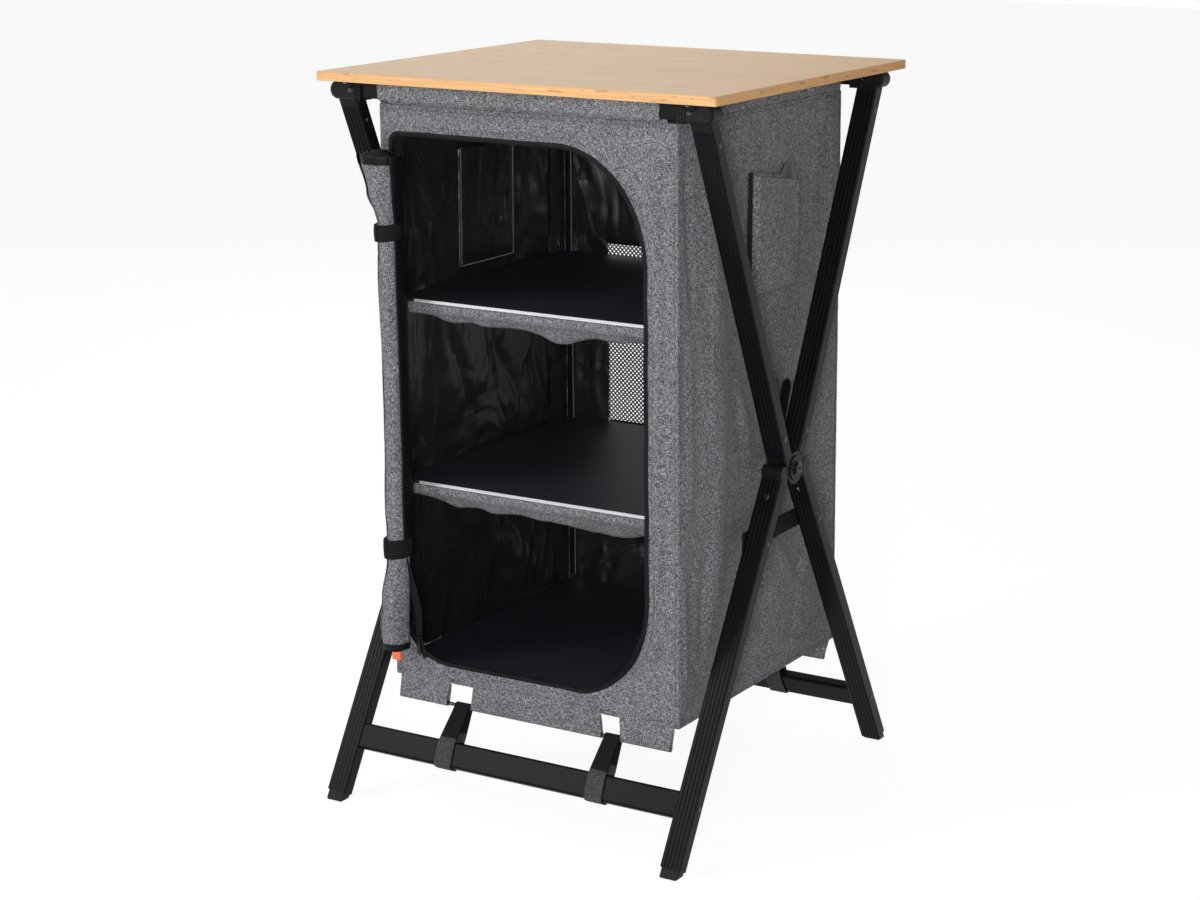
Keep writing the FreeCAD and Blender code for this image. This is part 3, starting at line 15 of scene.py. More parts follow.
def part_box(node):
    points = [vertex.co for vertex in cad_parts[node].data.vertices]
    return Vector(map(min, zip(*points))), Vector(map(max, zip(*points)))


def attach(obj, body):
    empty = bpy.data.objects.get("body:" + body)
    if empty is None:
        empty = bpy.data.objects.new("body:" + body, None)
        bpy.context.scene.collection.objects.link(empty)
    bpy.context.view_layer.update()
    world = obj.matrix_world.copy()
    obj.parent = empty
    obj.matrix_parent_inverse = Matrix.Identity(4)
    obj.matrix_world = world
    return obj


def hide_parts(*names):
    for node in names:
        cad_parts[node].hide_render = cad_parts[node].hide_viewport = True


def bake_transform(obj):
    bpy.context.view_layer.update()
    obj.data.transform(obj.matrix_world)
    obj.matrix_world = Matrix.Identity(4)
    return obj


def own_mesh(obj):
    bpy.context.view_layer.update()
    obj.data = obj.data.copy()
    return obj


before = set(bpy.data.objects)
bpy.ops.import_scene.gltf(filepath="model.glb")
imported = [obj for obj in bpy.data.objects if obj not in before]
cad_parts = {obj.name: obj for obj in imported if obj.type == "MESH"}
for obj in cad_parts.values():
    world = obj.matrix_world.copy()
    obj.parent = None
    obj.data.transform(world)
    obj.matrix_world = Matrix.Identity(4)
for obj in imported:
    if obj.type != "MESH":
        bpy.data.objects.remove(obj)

LOG = logging.getLogger("camping_cupboard")
Placing = Callable[[float, float], Vector]


class Body(Enum):
    """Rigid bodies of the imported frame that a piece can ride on."""

    CUPBOARD = "cupboard"
    OUTER = "outer_frame"
    INNER = "inner_frame"
    TOP = "tabletop"
    PULL = "zip_pull"


class Slot(Enum):
    """Material slots of the record."""

    CLOTH = "cloth_grey"
    WEBBING = "webbing"
    NET = "net"
    ZIP = "zip_black"
    TAB = "tab_orange"


class Hold(Enum):
    """How a sheet of cloth is held."""

    HUNG = "hung"
    GATHERED = "gathered"
    LAID = "laid"
    STRETCHED = "stretched"
    FOLDED = "folded"


def smooth(low: float, high: float, value: float) -> float:
    """Ease from 0 at low to 1 at high.

    Args:
        low: Value where the result is 0.
        high: Value where the result is 1.
        value: Value to ease.

    Returns:
        A number from 0 to 1.
    """
    share = min(1.0, max(0.0, (value - low) / (high - low)))
    return share * share * (3.0 - 2.0 * share)


def blend_stations(stations: Sequence[tuple[float, ...]], at: float) -> tuple[float, ...]:
    """Values between stations that are sorted by their first number.

    Args:
        stations: Rows of a place followed by values.
        at: Place to read.

    Returns:
        The values at that place, eased between the two nearest rows.
    """
    if at <= stations[0][0]:
        return stations[0][1:]
    for before, after in zip(stations, stations[1:]):
        if at <= after[0]:
            share = smooth(before[0], after[0], at)
            return tuple(a + (b - a) * share for a, b in zip(before[1:], after[1:]))
    return stations[-1][1:]


def ripple(x: float, y: float, seed: float, size: float) -> float:
    """Smooth unevenness of a cloth.

    Args:
        x: First place on the cloth, in metres.
        y: Second place on the cloth, in metres.
        seed: Number that makes this cloth differ from another.
        size: Width of one swell, in metres.

    Returns:
        A number from about -1 to 1.
    """
    coarse = noise.noise(Vector((x / size, y / size, seed)))
    fine = noise.noise(Vector((2.3 * x / size, 2.3 * y / size, seed + 7.1)))
    return coarse + 0.4 * fine


# Finishes


class Wiring:
    """Short hand for the nodes of one material."""

    def __init__(self, name: str) -> None:
        """Start a material with one principled shader.

        Args:
            name: Name of the material.
        """
        self.material = bpy.data.materials.new(name)
        self.material.use_nodes = True
        self.tree = self.material.node_tree
        self.shader = self.tree.nodes["Principled BSDF"]
        self.place = self.add("ShaderNodeTexCoord").outputs["Object"]

    def add(self, kind: str, **inputs: object) -> bpy.types.Node:
        """Add a node and fill its sockets.

        Args:
            kind: Blender's node type.
            **inputs: Socket names, with _ for a space, and what goes in: a value or another socket.

        Returns:
            The new node.
        """
        node = self.tree.nodes.new(kind)
        for name, value in inputs.items():
            self.fill(node.inputs[name.replace("_", " ")], value)
        return node

    def fill(self, socket: bpy.types.NodeSocket, value: object) -> None:
        """Set a socket, or link another one to it.

        Args:
            socket: Socket to fill.
            value: A value or an output socket.
        """
        if isinstance(value, bpy.types.NodeSocket):
            self.tree.links.new(value, socket)
        else:
            socket.default_value = value

    def stretched(self, scale: tuple[float, float, float]) -> bpy.types.NodeSocket:
        """Object place multiplied along each axis."""
        node = self.add("ShaderNodeMapping", Vector=self.place)
        node.inputs["Scale"].default_value = scale
        return node.outputs["Vector"]

    def grain(self, scale: tuple[float, float, float], detail: float = 2.0, rough: float = 0.5) -> bpy.types.NodeSocket:
        """Noise stretched along the axes.

        Args:
            scale: Swells in a metre along x, y and z.
            detail: Octaves of noise.
            rough: Strength of the finer octaves.

        Returns:
            The noise's factor socket.
        """
        node = self.add("ShaderNodeTexNoise", Vector=self.stretched(scale), Scale=1.0, Detail=detail, Roughness=rough)
        return node.outputs["Fac"]

    def ribs(self, axis: str, per_metre: float, warp: float = 0.0) -> bpy.types.NodeSocket:
        """Even ridges across one axis.

        Args:
            axis: X, Y or Z.
            per_metre: Ridges in a metre.
            warp: Unevenness of the ridges.

        Returns:
            The ridge factor socket.
        """
        node = self.add("ShaderNodeTexWave", Vector=self.place, Scale=per_metre / 20.0 * 2 * math.pi, Distortion=warp)
        node.bands_direction = axis
        return node.outputs["Fac"]

    def ramp(self, factor: bpy.types.NodeSocket, stops: Sequence[tuple[float, tuple[float, float, float]]]) -> bpy.types.NodeSocket:
        """Colours along a factor.

        Args:
            factor: Socket from 0 to 1.
            stops: Places and their colours.

        Returns:
            The colour socket.
        """
        node = self.add("ShaderNodeValToRGB", Fac=factor)
        bar = node.color_ramp.elements
        while len(bar) < len(stops):
            bar.new(0.5)
        for element, (place, colour) in zip(bar, stops):
            element.position = place
            element.color = (*colour, 1.0)
        return node.outputs["Color"]

    def mix(self, factor: object, first: object, second: object, how: str = "MIX") -> bpy.types.NodeSocket:
        """Mix two colours.

        Args:
            factor: Share of the second, a value or a socket.
            first: First colour, a value or a socket.
            second: Second colour, a value or a socket.
            how: Blend type.

        Returns:
            The colour socket.
        """
        node = self.tree.nodes.new("ShaderNodeMix")
        node.data_type = "RGBA"
        node.blend_type = how
        self.fill(node.inputs[0], factor)
        self.fill(node.inputs[6], (*first, 1.0) if isinstance(first, tuple) else first)
        self.fill(node.inputs[7], (*second, 1.0) if isinstance(second, tuple) else second)
        return node.outputs[2]

    def maths(self, what: str, first: object, second: object = 0.0) -> bpy.types.NodeSocket:
        """One sum.

        Args:
            what: Operation.
            first: First value or socket.
            second: Second value or socket.

        Returns:
            The result socket.
        """
        node = self.tree.nodes.new("ShaderNodeMath")
        node.operation = what
        self.fill(node.inputs[0], first)
        self.fill(node.inputs[1], second)
        return node.outputs[0]

    def spread(self, factor: bpy.types.NodeSocket, low: float, high: float) -> bpy.types.NodeSocket:
        """A factor from 0 to 1 spread between two values."""
        return self.add("ShaderNodeMapRange", Value=factor, To_Min=low, To_Max=high).outputs["Result"]

    def bump(self, height: bpy.types.NodeSocket, strength: float, distance: float,
             under: bpy.types.NodeSocket | None = None) -> bpy.types.NodeSocket:
        """Raise the surface by a height.

        Args:
            height: Height socket.
            strength: Share of the effect.
            distance: Height of the relief in metres.
            under: Another bump's normal to build on.

        Returns:
            The normal socket, also linked to the shader.
        """
        node = self.add("ShaderNodeBump", Height=height, Strength=strength, Distance=distance)
        if under is not None:
            self.fill(node.inputs["Normal"], under)
        self.fill(self.shader.inputs["Normal"], node.outputs["Normal"])
        return node.outputs["Normal"]

    def seen(self) -> bpy.types.NodeSocket:
        """1 for a ray from the camera or off a glossy or clear surface, else 0."""
        path = self.add("ShaderNodeLightPath")
        mirrored = self.maths("MAXIMUM", path.outputs["Is Glossy Ray"], path.outputs["Is Transmission Ray"])
        return self.maths("MAXIMUM", path.outputs["Is Camera Ray"], mirrored)

    def sidewise(self, axis: int) -> bpy.types.NodeSocket:
        """How squarely a surface faces along one axis, from 0 to 1."""
        normal = self.add("ShaderNodeNewGeometry").outputs["Normal"]
        split = self.add("ShaderNodeSeparateXYZ", Vector=normal)
        return self.maths("ABSOLUTE", split.outputs[axis])


class Finish:
    """A finish that makes its material once."""

    made: dict[str, bpy.types.Material] = {}

    def material(self) -> bpy.types.Material:
        """The finish's material, made on first use."""
        name = repr(self)
        if name not in Finish.made:
            wiring = Wiring(getattr(self, "name"))
            self.wire(wiring)
            Finish.made[name] = wiring.material
        return Finish.made[name]

    def wire(self, w: Wiring) -> None:
        """Wire the material's nodes."""
        raise NotImplementedError


@dataclass(frozen=True)
class HeatherCloth(Finish):
    """Woven cloth whose threads are dyed unevenly, light and dark."""

    name: str = "heather_cloth"
    dark: tuple[float, float, float] = (0.042, 0.044, 0.049)
    mid: tuple[float, float, float] = (0.142, 0.148, 0.158)
    light: tuple[float, float, float] = (0.40, 0.41, 0.43)

    def wire(self, w: Wiring) -> None:
        """Long thin flecks along both thread directions over a fine weave."""
        level = w.grain((250.0, 250.0, 1500.0), 2.0, 0.7)
        upright = w.grain((1500.0, 1500.0, 230.0), 2.0, 0.7)
        flecks = w.maths("ADD", w.maths("MULTIPLY", level, 0.5), w.maths("MULTIPLY", upright, 0.5))
        patches = w.grain((9.0, 9.0, 9.0), 3.0, 0.6)
        colour = w.ramp(flecks, [(0.435, self.dark), (0.505, self.mid), (0.59, self.light)])
        shade = w.ramp(patches, [(0.3, (0.86, 0.86, 0.86)), (0.7, (1.0, 1.0, 1.0))])
        w.fill(w.shader.inputs["Base Color"], w.mix(1.0, colour, shade, "MULTIPLY"))
        w.fill(w.shader.inputs["Roughness"], w.spread(flecks, 0.98, 0.78))
        w.shader.inputs["Sheen Weight"].default_value = 0.06
        w.shader.inputs["Specular IOR Level"].default_value = 0.25
        drape = w.add("ShaderNodeTexNoise", Vector=w.stretched((11.0, 11.0, 5.0)), Scale=1.0, Detail=3.0, Roughness=0.5, Distortion=1.1)
        hung = w.bump(drape.outputs["Fac"], 0.8, 0.011)
        soft = w.bump(w.grain((34.0, 34.0, 24.0), 4.0, 0.6), 0.5, 0.0030, hung)
        w.bump(flecks, 0.4, 0.0004, soft)


@dataclass(frozen=True)
class CoatedLining(Finish):
    """Black coated back of the cloth, with glossy creases."""

    name: str = "coated_lining"
    relief: float = 0.011
    swells: float = 8.0
    gloss: tuple[float, float] = (0.24, 0.42)
    shine: float = 0.6

    def wire(self, w: Wiring) -> None:
        """Soft folds crossed by sharp creases, with painted shade: the colour is darker in the hollows of the folds and
        lighter on their crowns.
        """
        folds = w.add("ShaderNodeTexNoise", Vector=w.stretched((1.0, 1.0, 0.6)), Scale=self.swells, Detail=3.0, Roughness=0.45, Distortion=1.8)
        crumple = w.add("ShaderNodeTexVoronoi", Vector=w.stretched((15.0, 15.0, 9.0)), Scale=1.0)
        crumple.feature = "DISTANCE_TO_EDGE"
        crease = w.ramp(crumple.outputs["Distance"], [(0.0, (1.0, 1.0, 1.0)), (0.10, (0.0, 0.0, 0.0))])
        # Painted shade: the colour follows the fold height, darker where it is low and lighter where it is high.
        tone = w.mix(folds.outputs["Fac"], (0.0075, 0.008, 0.0095), (0.016, 0.0165, 0.019))
        w.fill(w.shader.inputs["Base Color"], tone)
        w.fill(w.shader.inputs["Roughness"], w.spread(folds.outputs["Fac"], *self.gloss))
        w.shader.inputs["Specular IOR Level"].default_value = self.shine
        first = w.bump(folds.outputs["Fac"], 1.0, self.relief)
        w.bump(crease, 0.5, 0.002, first)


@dataclass(frozen=True)
class SatinAluminium(Finish):
    """Black satin coating on drawn aluminium."""

    name: str = "satin_black_aluminium"

    def wire(self, w: Wiring) -> None:
        """Fine orange-peel with faint handling marks."""
        peel = w.grain((700.0, 700.0, 700.0), 2.0, 0.5)
        rubs = w.grain((60.0, 60.0, 7.0), 5.0, 0.7)
        w.fill(w.shader.inputs["Base Color"], w.ramp(rubs, [(0.35, (0.0035, 0.0035, 0.0044)), (0.72, (0.0065, 0.0065, 0.0078))]))
        w.fill(w.shader.inputs["Roughness"], w.spread(rubs, 0.28, 0.4))
        w.shader.inputs["Specular IOR Level"].default_value = 0.08
        w.bump(peel, 0.12, 0.0002)


@dataclass(frozen=True)
class MouldedPlastic(Finish):
    """Black plastic with a fine spark-eroded grain."""

    name: str = "moulded_plastic"

    def wire(self, w: Wiring) -> None:
        """Pebbled grain and a little dust in random patches."""
        grain = w.add("ShaderNodeTexVoronoi", Vector=w.place, Scale=1100.0).outputs["Distance"]
        dust = w.grain((45.0, 45.0, 45.0), 4.0, 0.6)
        w.fill(w.shader.inputs["Base Color"], w.ramp(dust, [(0.4, (0.0055, 0.0055, 0.006)), (0.75, (0.013, 0.013, 0.014))]))
        w.fill(w.shader.inputs["Roughness"], w.spread(dust, 0.36, 0.52))
        w.shader.inputs["Specular IOR Level"].default_value = 0.12
        w.bump(grain, 0.2, 0.0003)


@dataclass(frozen=True)
class PlatedSteel(Finish):
    """Plated steel of small fasteners."""

    name: str = "plated_steel"
    tone: tuple[float, float, float] = (0.1, 0.1, 0.105)

    def wire(self, w: Wiring) -> None:
        """Brushed tone with small spots."""
        brushed = w.grain((300.0, 300.0, 1500.0), 3.0, 0.6)
        dark = tuple(0.6 * part for part in self.tone)
        w.fill(w.shader.inputs["Base Color"], w.ramp(brushed, [(0.3, dark), (0.7, self.tone)]))
        w.shader.inputs["Metallic"].default_value = 0.9
        w.fill(w.shader.inputs["Roughness"], w.spread(brushed, 0.25, 0.45))
        w.bump(brushed, 0.1, 0.0002)


@dataclass(frozen=True)
class VarnishedWood(Finish):
    """Pale varnished bamboo board: straight grain, darker layered edge."""

    name: str = "varnished_wood"

    def wire(self, w: Wiring) -> None:
        """Narrow strips with their own tone, fine grain along them, and an edge with dark marks."""
        strips = w.add("ShaderNodeTexWhiteNoise")
        strips.noise_dimensions = "1D"
        row = w.add("ShaderNodeSeparateXYZ", Vector=w.stretched((1.0, 48.0, 1.0)))
        w.fill(strips.inputs["W"], w.maths("FLOOR", row.outputs[1]))
        fine = w.grain((14.0, 420.0, 420.0), 5.0, 0.65)
        broad = w.grain((2.2, 22.0, 22.0), 3.0, 0.5)
        face = w.ramp(fine, [(0.3, (0.705, 0.450, 0.226)), (0.7, (0.815, 0.545, 0.288))])
        strip = w.ramp(strips.outputs["Value"], [(0.0, (0.93, 0.915, 0.9)), (1.0, (1.0, 1.0, 1.0))])
        face = w.mix(1.0, face, strip, "MULTIPLY")
        face = w.mix(0.35, face, w.ramp(broad, [(0.3, (0.715, 0.455, 0.226)), (0.7, (0.835, 0.575, 0.308))]))
        layers = w.grain((20.0, 20.0, 900.0), 3.0, 0.6)
        knots = w.grain((42.0, 42.0, 260.0), 1.0, 0.4)
        edge = w.ramp(layers, [(0.3, (0.66, 0.36, 0.15)), (0.7, (0.86, 0.53, 0.26))])
        spots = w.ramp(knots, [(0.66, (0.0, 0.0, 0.0)), (0.74, (1.0, 1.0, 1.0))])
        edge = w.mix(w.maths("MULTIPLY", spots, 0.7), edge, (0.42, 0.18, 0.08))
        level = w.sidewise(2)
        is_face = w.ramp(level, [(0.55, (0.0, 0.0, 0.0)), (0.8, (1.0, 1.0, 1.0))])
        w.fill(w.shader.inputs["Base Color"], w.mix(is_face, edge, face))
        w.fill(w.shader.inputs["Roughness"], w.spread(fine, 0.36, 0.5))
        w.shader.inputs["Specular IOR Level"].default_value = 0.03
        w.bump(fine, 0.12, 0.0003)


@dataclass(frozen=True)
class CoveredBoard(Finish):
    """Dark blue-black covering of the shelf boards."""

    name: str = "covered_board"

    def wire(self, w: Wiring) -> None:
        """Fine leathery grain and light scuffs."""
        grain = w.add("ShaderNodeTexVoronoi", Vector=w.place, Scale=620.0).outputs["Distance"]
        scuffs = w.grain((5.0, 16.0, 16.0), 6.0, 0.7)
        w.fill(w.shader.inputs["Base Color"], w.ramp(scuffs, [(0.35, (0.0150, 0.0170, 0.0230)), (0.75, (0.0215, 0.0240, 0.0310))]))
        w.fill(w.shader.inputs["Roughness"], w.spread(scuffs, 0.46, 0.6))
        w.shader.inputs["Specular IOR Level"].default_value = 0.22
        w.bump(grain, 0.12, 0.0002)


@dataclass(frozen=True)
class SilverEdge(Finish):
    """Silver edging strip."""

    name: str = "silver_edge"

    def wire(self, w: Wiring) -> None:
        """Drawn metal look along the strip."""
        drawn = w.grain((4.0, 900.0, 900.0), 3.0, 0.6)
        w.fill(w.shader.inputs["Base Color"], w.ramp(drawn, [(0.3, (0.5, 0.51, 0.53)), (0.7, (0.68, 0.69, 0.71))]))
        w.shader.inputs["Metallic"].default_value = 0.35
        w.fill(w.shader.inputs["Roughness"], w.spread(drawn, 0.3, 0.42))
        w.bump(drawn, 0.06, 0.0001)


@dataclass(frozen=True)
class RibbedWebbing(Finish):
    """Woven webbing with cross ribs."""

    name: str = "ribbed_webbing"
    dark: tuple[float, float, float] = (0.004, 0.004, 0.005)
    light: tuple[float, float, float] = (0.015, 0.015, 0.017)
    axis: str = "Z"

    def wire(self, w: Wiring) -> None:
        """Ribs with a slight fuzz."""
        ribs = w.ribs(self.axis, 620.0, 0.6)
        fuzz = w.grain((800.0, 800.0, 800.0), 2.0, 0.7)
        tone = w.maths("ADD", w.maths("MULTIPLY", ribs, 0.5), w.maths("MULTIPLY", fuzz, 0.5))
        w.fill(w.shader.inputs["Base Color"], w.ramp(tone, [(0.3, self.dark), (0.75, self.light)]))
        w.fill(w.shader.inputs["Roughness"], w.spread(fuzz, 0.7, 0.92))
        w.shader.inputs["Specular IOR Level"].default_value = 0.1
        w.bump(tone, 0.4, 0.0004)


@dataclass(frozen=True)
class ZipCoil(Finish):
    """Black nylon of the zip."""

    name: str = "zip_coil"

    def wire(self, w: Wiring) -> None:
        """Herringbone hint and a soft gloss."""
        weave = w.grain((500.0, 500.0, 1300.0), 2.0, 0.6)
        w.fill(w.shader.inputs["Base Color"], w.ramp(weave, [(0.35, (0.003, 0.003, 0.0034)), (0.7, (0.008, 0.008, 0.009))]))
        w.fill(w.shader.inputs["Roughness"], w.spread(weave, 0.34, 0.52))
        w.shader.inputs["Specular IOR Level"].default_value = 0.12
        w.bump(weave, 0.3, 0.0003)


@dataclass(frozen=True)
class NetThread(Finish):
    """Dark thread of the net."""

    name: str = "net_thread"

    def wire(self, w: Wiring) -> None:
        """Twisted thread tone."""
        twist = w.grain((900.0, 900.0, 900.0), 2.0, 0.6)
        w.fill(w.shader.inputs["Base Color"], w.ramp(twist, [(0.3, (0.012, 0.012, 0.013)), (0.7, (0.04, 0.04, 0.042))]))
        w.fill(w.shader.inputs["Roughness"], w.spread(twist, 0.6, 0.85))
        w.bump(twist, 0.3, 0.0002)


@dataclass(frozen=True)
class TabCloth(Finish):
    """Bright plain tab."""

    name: str = "tab_cloth"

    def wire(self, w: Wiring) -> None:
        """Close weave."""
        weave = w.grain((900.0, 900.0, 1400.0), 2.0, 0.6)
        w.fill(w.shader.inputs["Base Color"], w.ramp(weave, [(0.3, (0.78, 0.13, 0.04)), (0.7, (0.95, 0.22, 0.08))]))
        w.fill(w.shader.inputs["Roughness"], w.spread(weave, 0.7, 0.9))
        w.bump(weave, 0.3, 0.0002)


@dataclass(frozen=True)
class StitchThread(Finish):
    """Sewing thread."""

    name: str = "stitch_thread"
    dark: tuple[float, float, float] = (0.02, 0.02, 0.022)
    light: tuple[float, float, float] = (0.06, 0.06, 0.064)

    def wire(self, w: Wiring) -> None:
        """Twisted thread."""
        twist = w.grain((1500.0, 1500.0, 1500.0), 2.0, 0.6)
        w.fill(w.shader.inputs["Base Color"], w.ramp(twist, [(0.3, self.dark), (0.7, self.light)]))
        w.fill(w.shader.inputs["Roughness"], w.spread(twist, 0.55, 0.8))
        w.bump(twist, 0.2, 0.0001)


CLOTH = HeatherCloth()
LINING = CoatedLining()
BACK_LINING = CoatedLining("coated_lining_back", 0.040, 5.0, (0.17, 0.30), 1.0)
WEBBING = RibbedWebbing()
ZIP = ZipCoil()
THREAD = StitchThread()
LINING_THREAD = StitchThread("lining_thread", (0.18, 0.18, 0.185), (0.36, 0.36, 0.37))


# Making pieces


class Path:
    """A line through points that is read by its share of length."""

    def __init__(self, points: Sequence[Vector], closed: bool = False) -> None:
        """Measure the line.

        Args:
            points: Its points.
            closed: Whether it returns to its first point.
        """
        self.points = list(points) + ([points[0]] if closed else [])
        self.marks = [0.0]
        for start, end in zip(self.points, self.points[1:]):
            self.marks.append(self.marks[-1] + (end - start).length)

    @property
    def length(self) -> float:
        """Whole length in metres."""
        return self.marks[-1]

    def at(self, share: float) -> Vector:
        """Point at a share of the length.

        Args:
            share: From 0 to 1.

        Returns:
            The point.
        """
        goal = min(1.0, max(0.0, share)) * self.length
        index = min(max(bisect.bisect_right(self.marks, goal) - 1, 0), len(self.points) - 2)
        span = self.marks[index + 1] - self.marks[index]
        return self.points[index].lerp(self.points[index + 1], (goal - self.marks[index]) / max(span, 1e-9))

    def along(self, share: float) -> Vector:
        """Direction at a share of the length."""
        return (self.at(share + 0.002) - self.at(share - 0.002)).normalized()


class Maker:
    """Builds meshes with bmesh and hands them over as pieces."""

    @staticmethod
    def grid(columns: int, rows: int, place: Placing, outward: Vector | None = None, wrap: bool = False) -> bmesh.types.BMesh:
        """A sheet laid out by a placing function.

        Args:
            columns: Faces across.
            rows: Faces along.
            place: Position for two shares from 0 to 1.
            outward: Side that the faces look to, or None for a sheet that closes on itself.
            wrap: Whether the first and last columns meet.

        Returns:
            The sheet, with shares kept as its UV map.
        """
        bm = bmesh.new()
        bm.loops.layers.uv.new("UVMap")
        bmesh.ops.create_grid(bm, x_segments=columns, y_segments=rows, size=0.5, calc_uvs=True)
        for vert in bm.verts:
            vert.co = place(vert.co.x + 0.5, vert.co.y + 0.5)
        if wrap:
            bmesh.ops.remove_doubles(bm, verts=bm.verts, dist=1e-6)
        if outward is None:
            bmesh.ops.recalc_face_normals(bm, faces=bm.faces)
        else:
            Maker.turn_out(bm, outward)
        return bm

    @staticmethod
    def paint(bm: bmesh.types.BMesh, index: int, where: Callable[[Vector], bool]) -> None:
        """Give a finish to the faces whose middle passes a test.

        Args:
            bm: Mesh to mark.
            index: Index of the finish.
            where: Test of a face's middle.
        """
        for face in bm.faces:
            if where(face.calc_center_median()):
                face.material_index = index

    @staticmethod
    def belt(points: Sequence[tuple[float, float]], grow: float, count: int = 12) -> Path:
        """Line that a belt takes round points, in the plane across x.

        Args:
            points: Places as y and z.
            grow: Distance of the belt's middle from the points.
            count: Points on each rounding.

        Returns:
            The closed line.
        """
        turns = [2 * math.pi * index / count for index in range(count)]
        spots = sorted({(round(y + grow * math.cos(a), 7), round(z + grow * math.sin(a), 7)) for y, z in points for a in turns})
        chains = []
        for row in (spots, spots[::-1]):
            chain: list[tuple[float, float]] = []
            for spot in row:
                while len(chain) > 1 and Maker.left_of(chain[-2], chain[-1], spot) <= 0:
                    chain.pop()
                chain.append(spot)
            chains.extend(chain[:-1])
        return Path([Vector((0.0, y, z)) for y, z in chains], closed=True)

    @staticmethod
    def left_of(first: tuple[float, float], second: tuple[float, float], third: tuple[float, float]) -> float:
        """Twice the area of a triangle, above 0 where the third place is left of the line."""
        ahead = (second[0] - first[0]) * (third[1] - first[1])
        return ahead - (second[1] - first[1]) * (third[0] - first[0])

    @staticmethod
    def turn_out(bm: bmesh.types.BMesh, outward: Vector) -> None:
        """Turn all faces to one side.

        Args:
            bm: Sheet to turn.
            outward: Side that the faces look to, on the whole.
        """
        bm.normal_update()
        total = sum((face.normal * face.calc_area() for face in bm.faces), Vector())
        if total.dot(outward) < 0:
            bmesh.ops.reverse_faces(bm, faces=bm.faces)
        bm.normal_update()

    @staticmethod
    def box(bm: bmesh.types.BMesh, low: Vector, high: Vector) -> list[bmesh.types.BMVert]:
        """Add a box between two corners.

        Args:
            bm: Mesh to add to.
            low: Lowest corner.
            high: Highest corner.

        Returns:
            The box's points.
        """
        matrix = Matrix.Translation((low + high) / 2) @ Matrix.Diagonal((*(high - low), 1.0))
        return bmesh.ops.create_cube(bm, size=1.0, matrix=matrix)["verts"]

    @staticmethod
    def join(first: bmesh.types.BMesh, second: bmesh.types.BMesh) -> bmesh.types.BMesh:
        """Put the second mesh into the first and free it."""
        spare = bpy.data.meshes.new("spare")
        second.to_mesh(spare)
        second.free()
        first.from_mesh(spare)
        bpy.data.meshes.remove(spare)
        return first

    @staticmethod
    def finish(name: str, bm: bmesh.types.BMesh, finishes: Sequence[Finish], body: Body | None, slot: Slot,
               replaces: Sequence[str] = (), shaded: bool = True) -> bpy.types.Object:
        """Turn a mesh into a piece of the cupboard.

        Args:
            name: Name of the piece.
            bm: Its mesh, which is freed.
            finishes: One finish for each material index.
            body: Body that it rides on, or None where it is blended.
            slot: Slot of the record; not used.
            replaces: CAD nodes that it stands for.
            shaded: Whether its faces are shaded smooth.

        Returns:
            The object.
        """
        mesh = bpy.data.meshes.new(name)
        bm.to_mesh(mesh)
        bm.free()
        for polygon in mesh.polygons:
            polygon.use_smooth = shaded
        piece = bpy.data.objects.new(name, mesh)
        bpy.context.scene.collection.objects.link(piece)
        for finish in finishes:
            mesh.materials.append(finish.material())
        if body is not None:
            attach(piece, body.value)
        if replaces:
            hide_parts(*replaces)
        LOG.info("made %s with %d faces", name, len(mesh.polygons))
        return piece

    @staticmethod
    def thicken(piece: bpy.types.Object, thickness: float, offset: float = -1.0, inner: int = 1) -> None:
        """Give a sheet its thickness.

        Args:
            piece: The sheet.
            thickness: Thickness in metres.
            offset: -1 to grow inwards, 1 outwards, 0 both ways.
            inner: Steps from a face's finish to that of its back.
        """
        shell = piece.modifiers.new("thickness", "SOLIDIFY")
        shell.thickness = thickness
        shell.offset = offset
        shell.material_offset = inner
        shell.use_even_offset = True

    @staticmethod
    def dashes(name: str, lines: Sequence[Sequence[Vector]], body: Body, finish: Finish, pitch: float, width: float,
               thickness: float, facing: Vector, slot: Slot = Slot.CLOTH) -> bpy.types.Object:
        """Rows of short dashes along lines, such as stitches or the teeth of a zip.

        Args:
            name: Name of the piece.
            lines: Points of each row.
            body: Body that the dashes ride on.
            finish: Their finish.
            pitch: Distance from dash to dash.
            width: Width of a dash.
            thickness: Thickness of a dash.
            facing: Side that the dashes look to.
            slot: Slot of the record.

        Returns:
            The object.
        """
        bm = bmesh.new()
        for line in lines:
            path = Path(line)
            count = max(2, round(path.length / pitch))

            def lay(along: float, across: float, path: Path = path, count: int = count) -> Vector:
                whole = math.floor(along * 2 * count + 0.5)
                share = (whole + (0.35 if whole % 2 else 0.0)) / (2 * count)
                side = path.along(share).cross(facing).normalized()
                return path.at(share) + side * (across - 0.5) * width

            row = Maker.grid(2 * count, 1, lay, facing)
            row.faces.ensure_lookup_table()
            gaps = [face for index, face in enumerate(row.faces) if index % 2]
            bmesh.ops.delete(row, geom=gaps, context="FACES")
            Maker.join(bm, row)
        piece = Maker.finish(name, bm, [finish], body, slot, shaded=False)
        Maker.thicken(piece, thickness, offset=0.0, inner=0)
        return piece


@dataclass(frozen=True)
class Crease:
    """A crease or soft ridge on a cloth, between two places on it."""

    start: tuple[float, float]
    end: tuple[float, float]
    width: float
    height: float

    def at(self, x: float, y: float) -> float:
        """Height of the crease at a place on the cloth.

        Args:
            x: First place, in metres.
            y: Second place, in metres.

        Returns:
            Height in metres, outwards.
        """
        ax, ay = self.start
        bx, by = self.end[0] - ax, self.end[1] - ay
        along = ((x - ax) * bx + (y - ay) * by) / (bx * bx + by * by)
        held = min(1.0, max(0.0, along))
        off = math.hypot(x - ax - held * bx, y - ay - held * by)
        taper = math.sin(math.pi * min(1.0, max(0.0, 0.08 + 0.84 * held)))
        return self.height * taper * math.exp(-((off / self.width) ** 2))


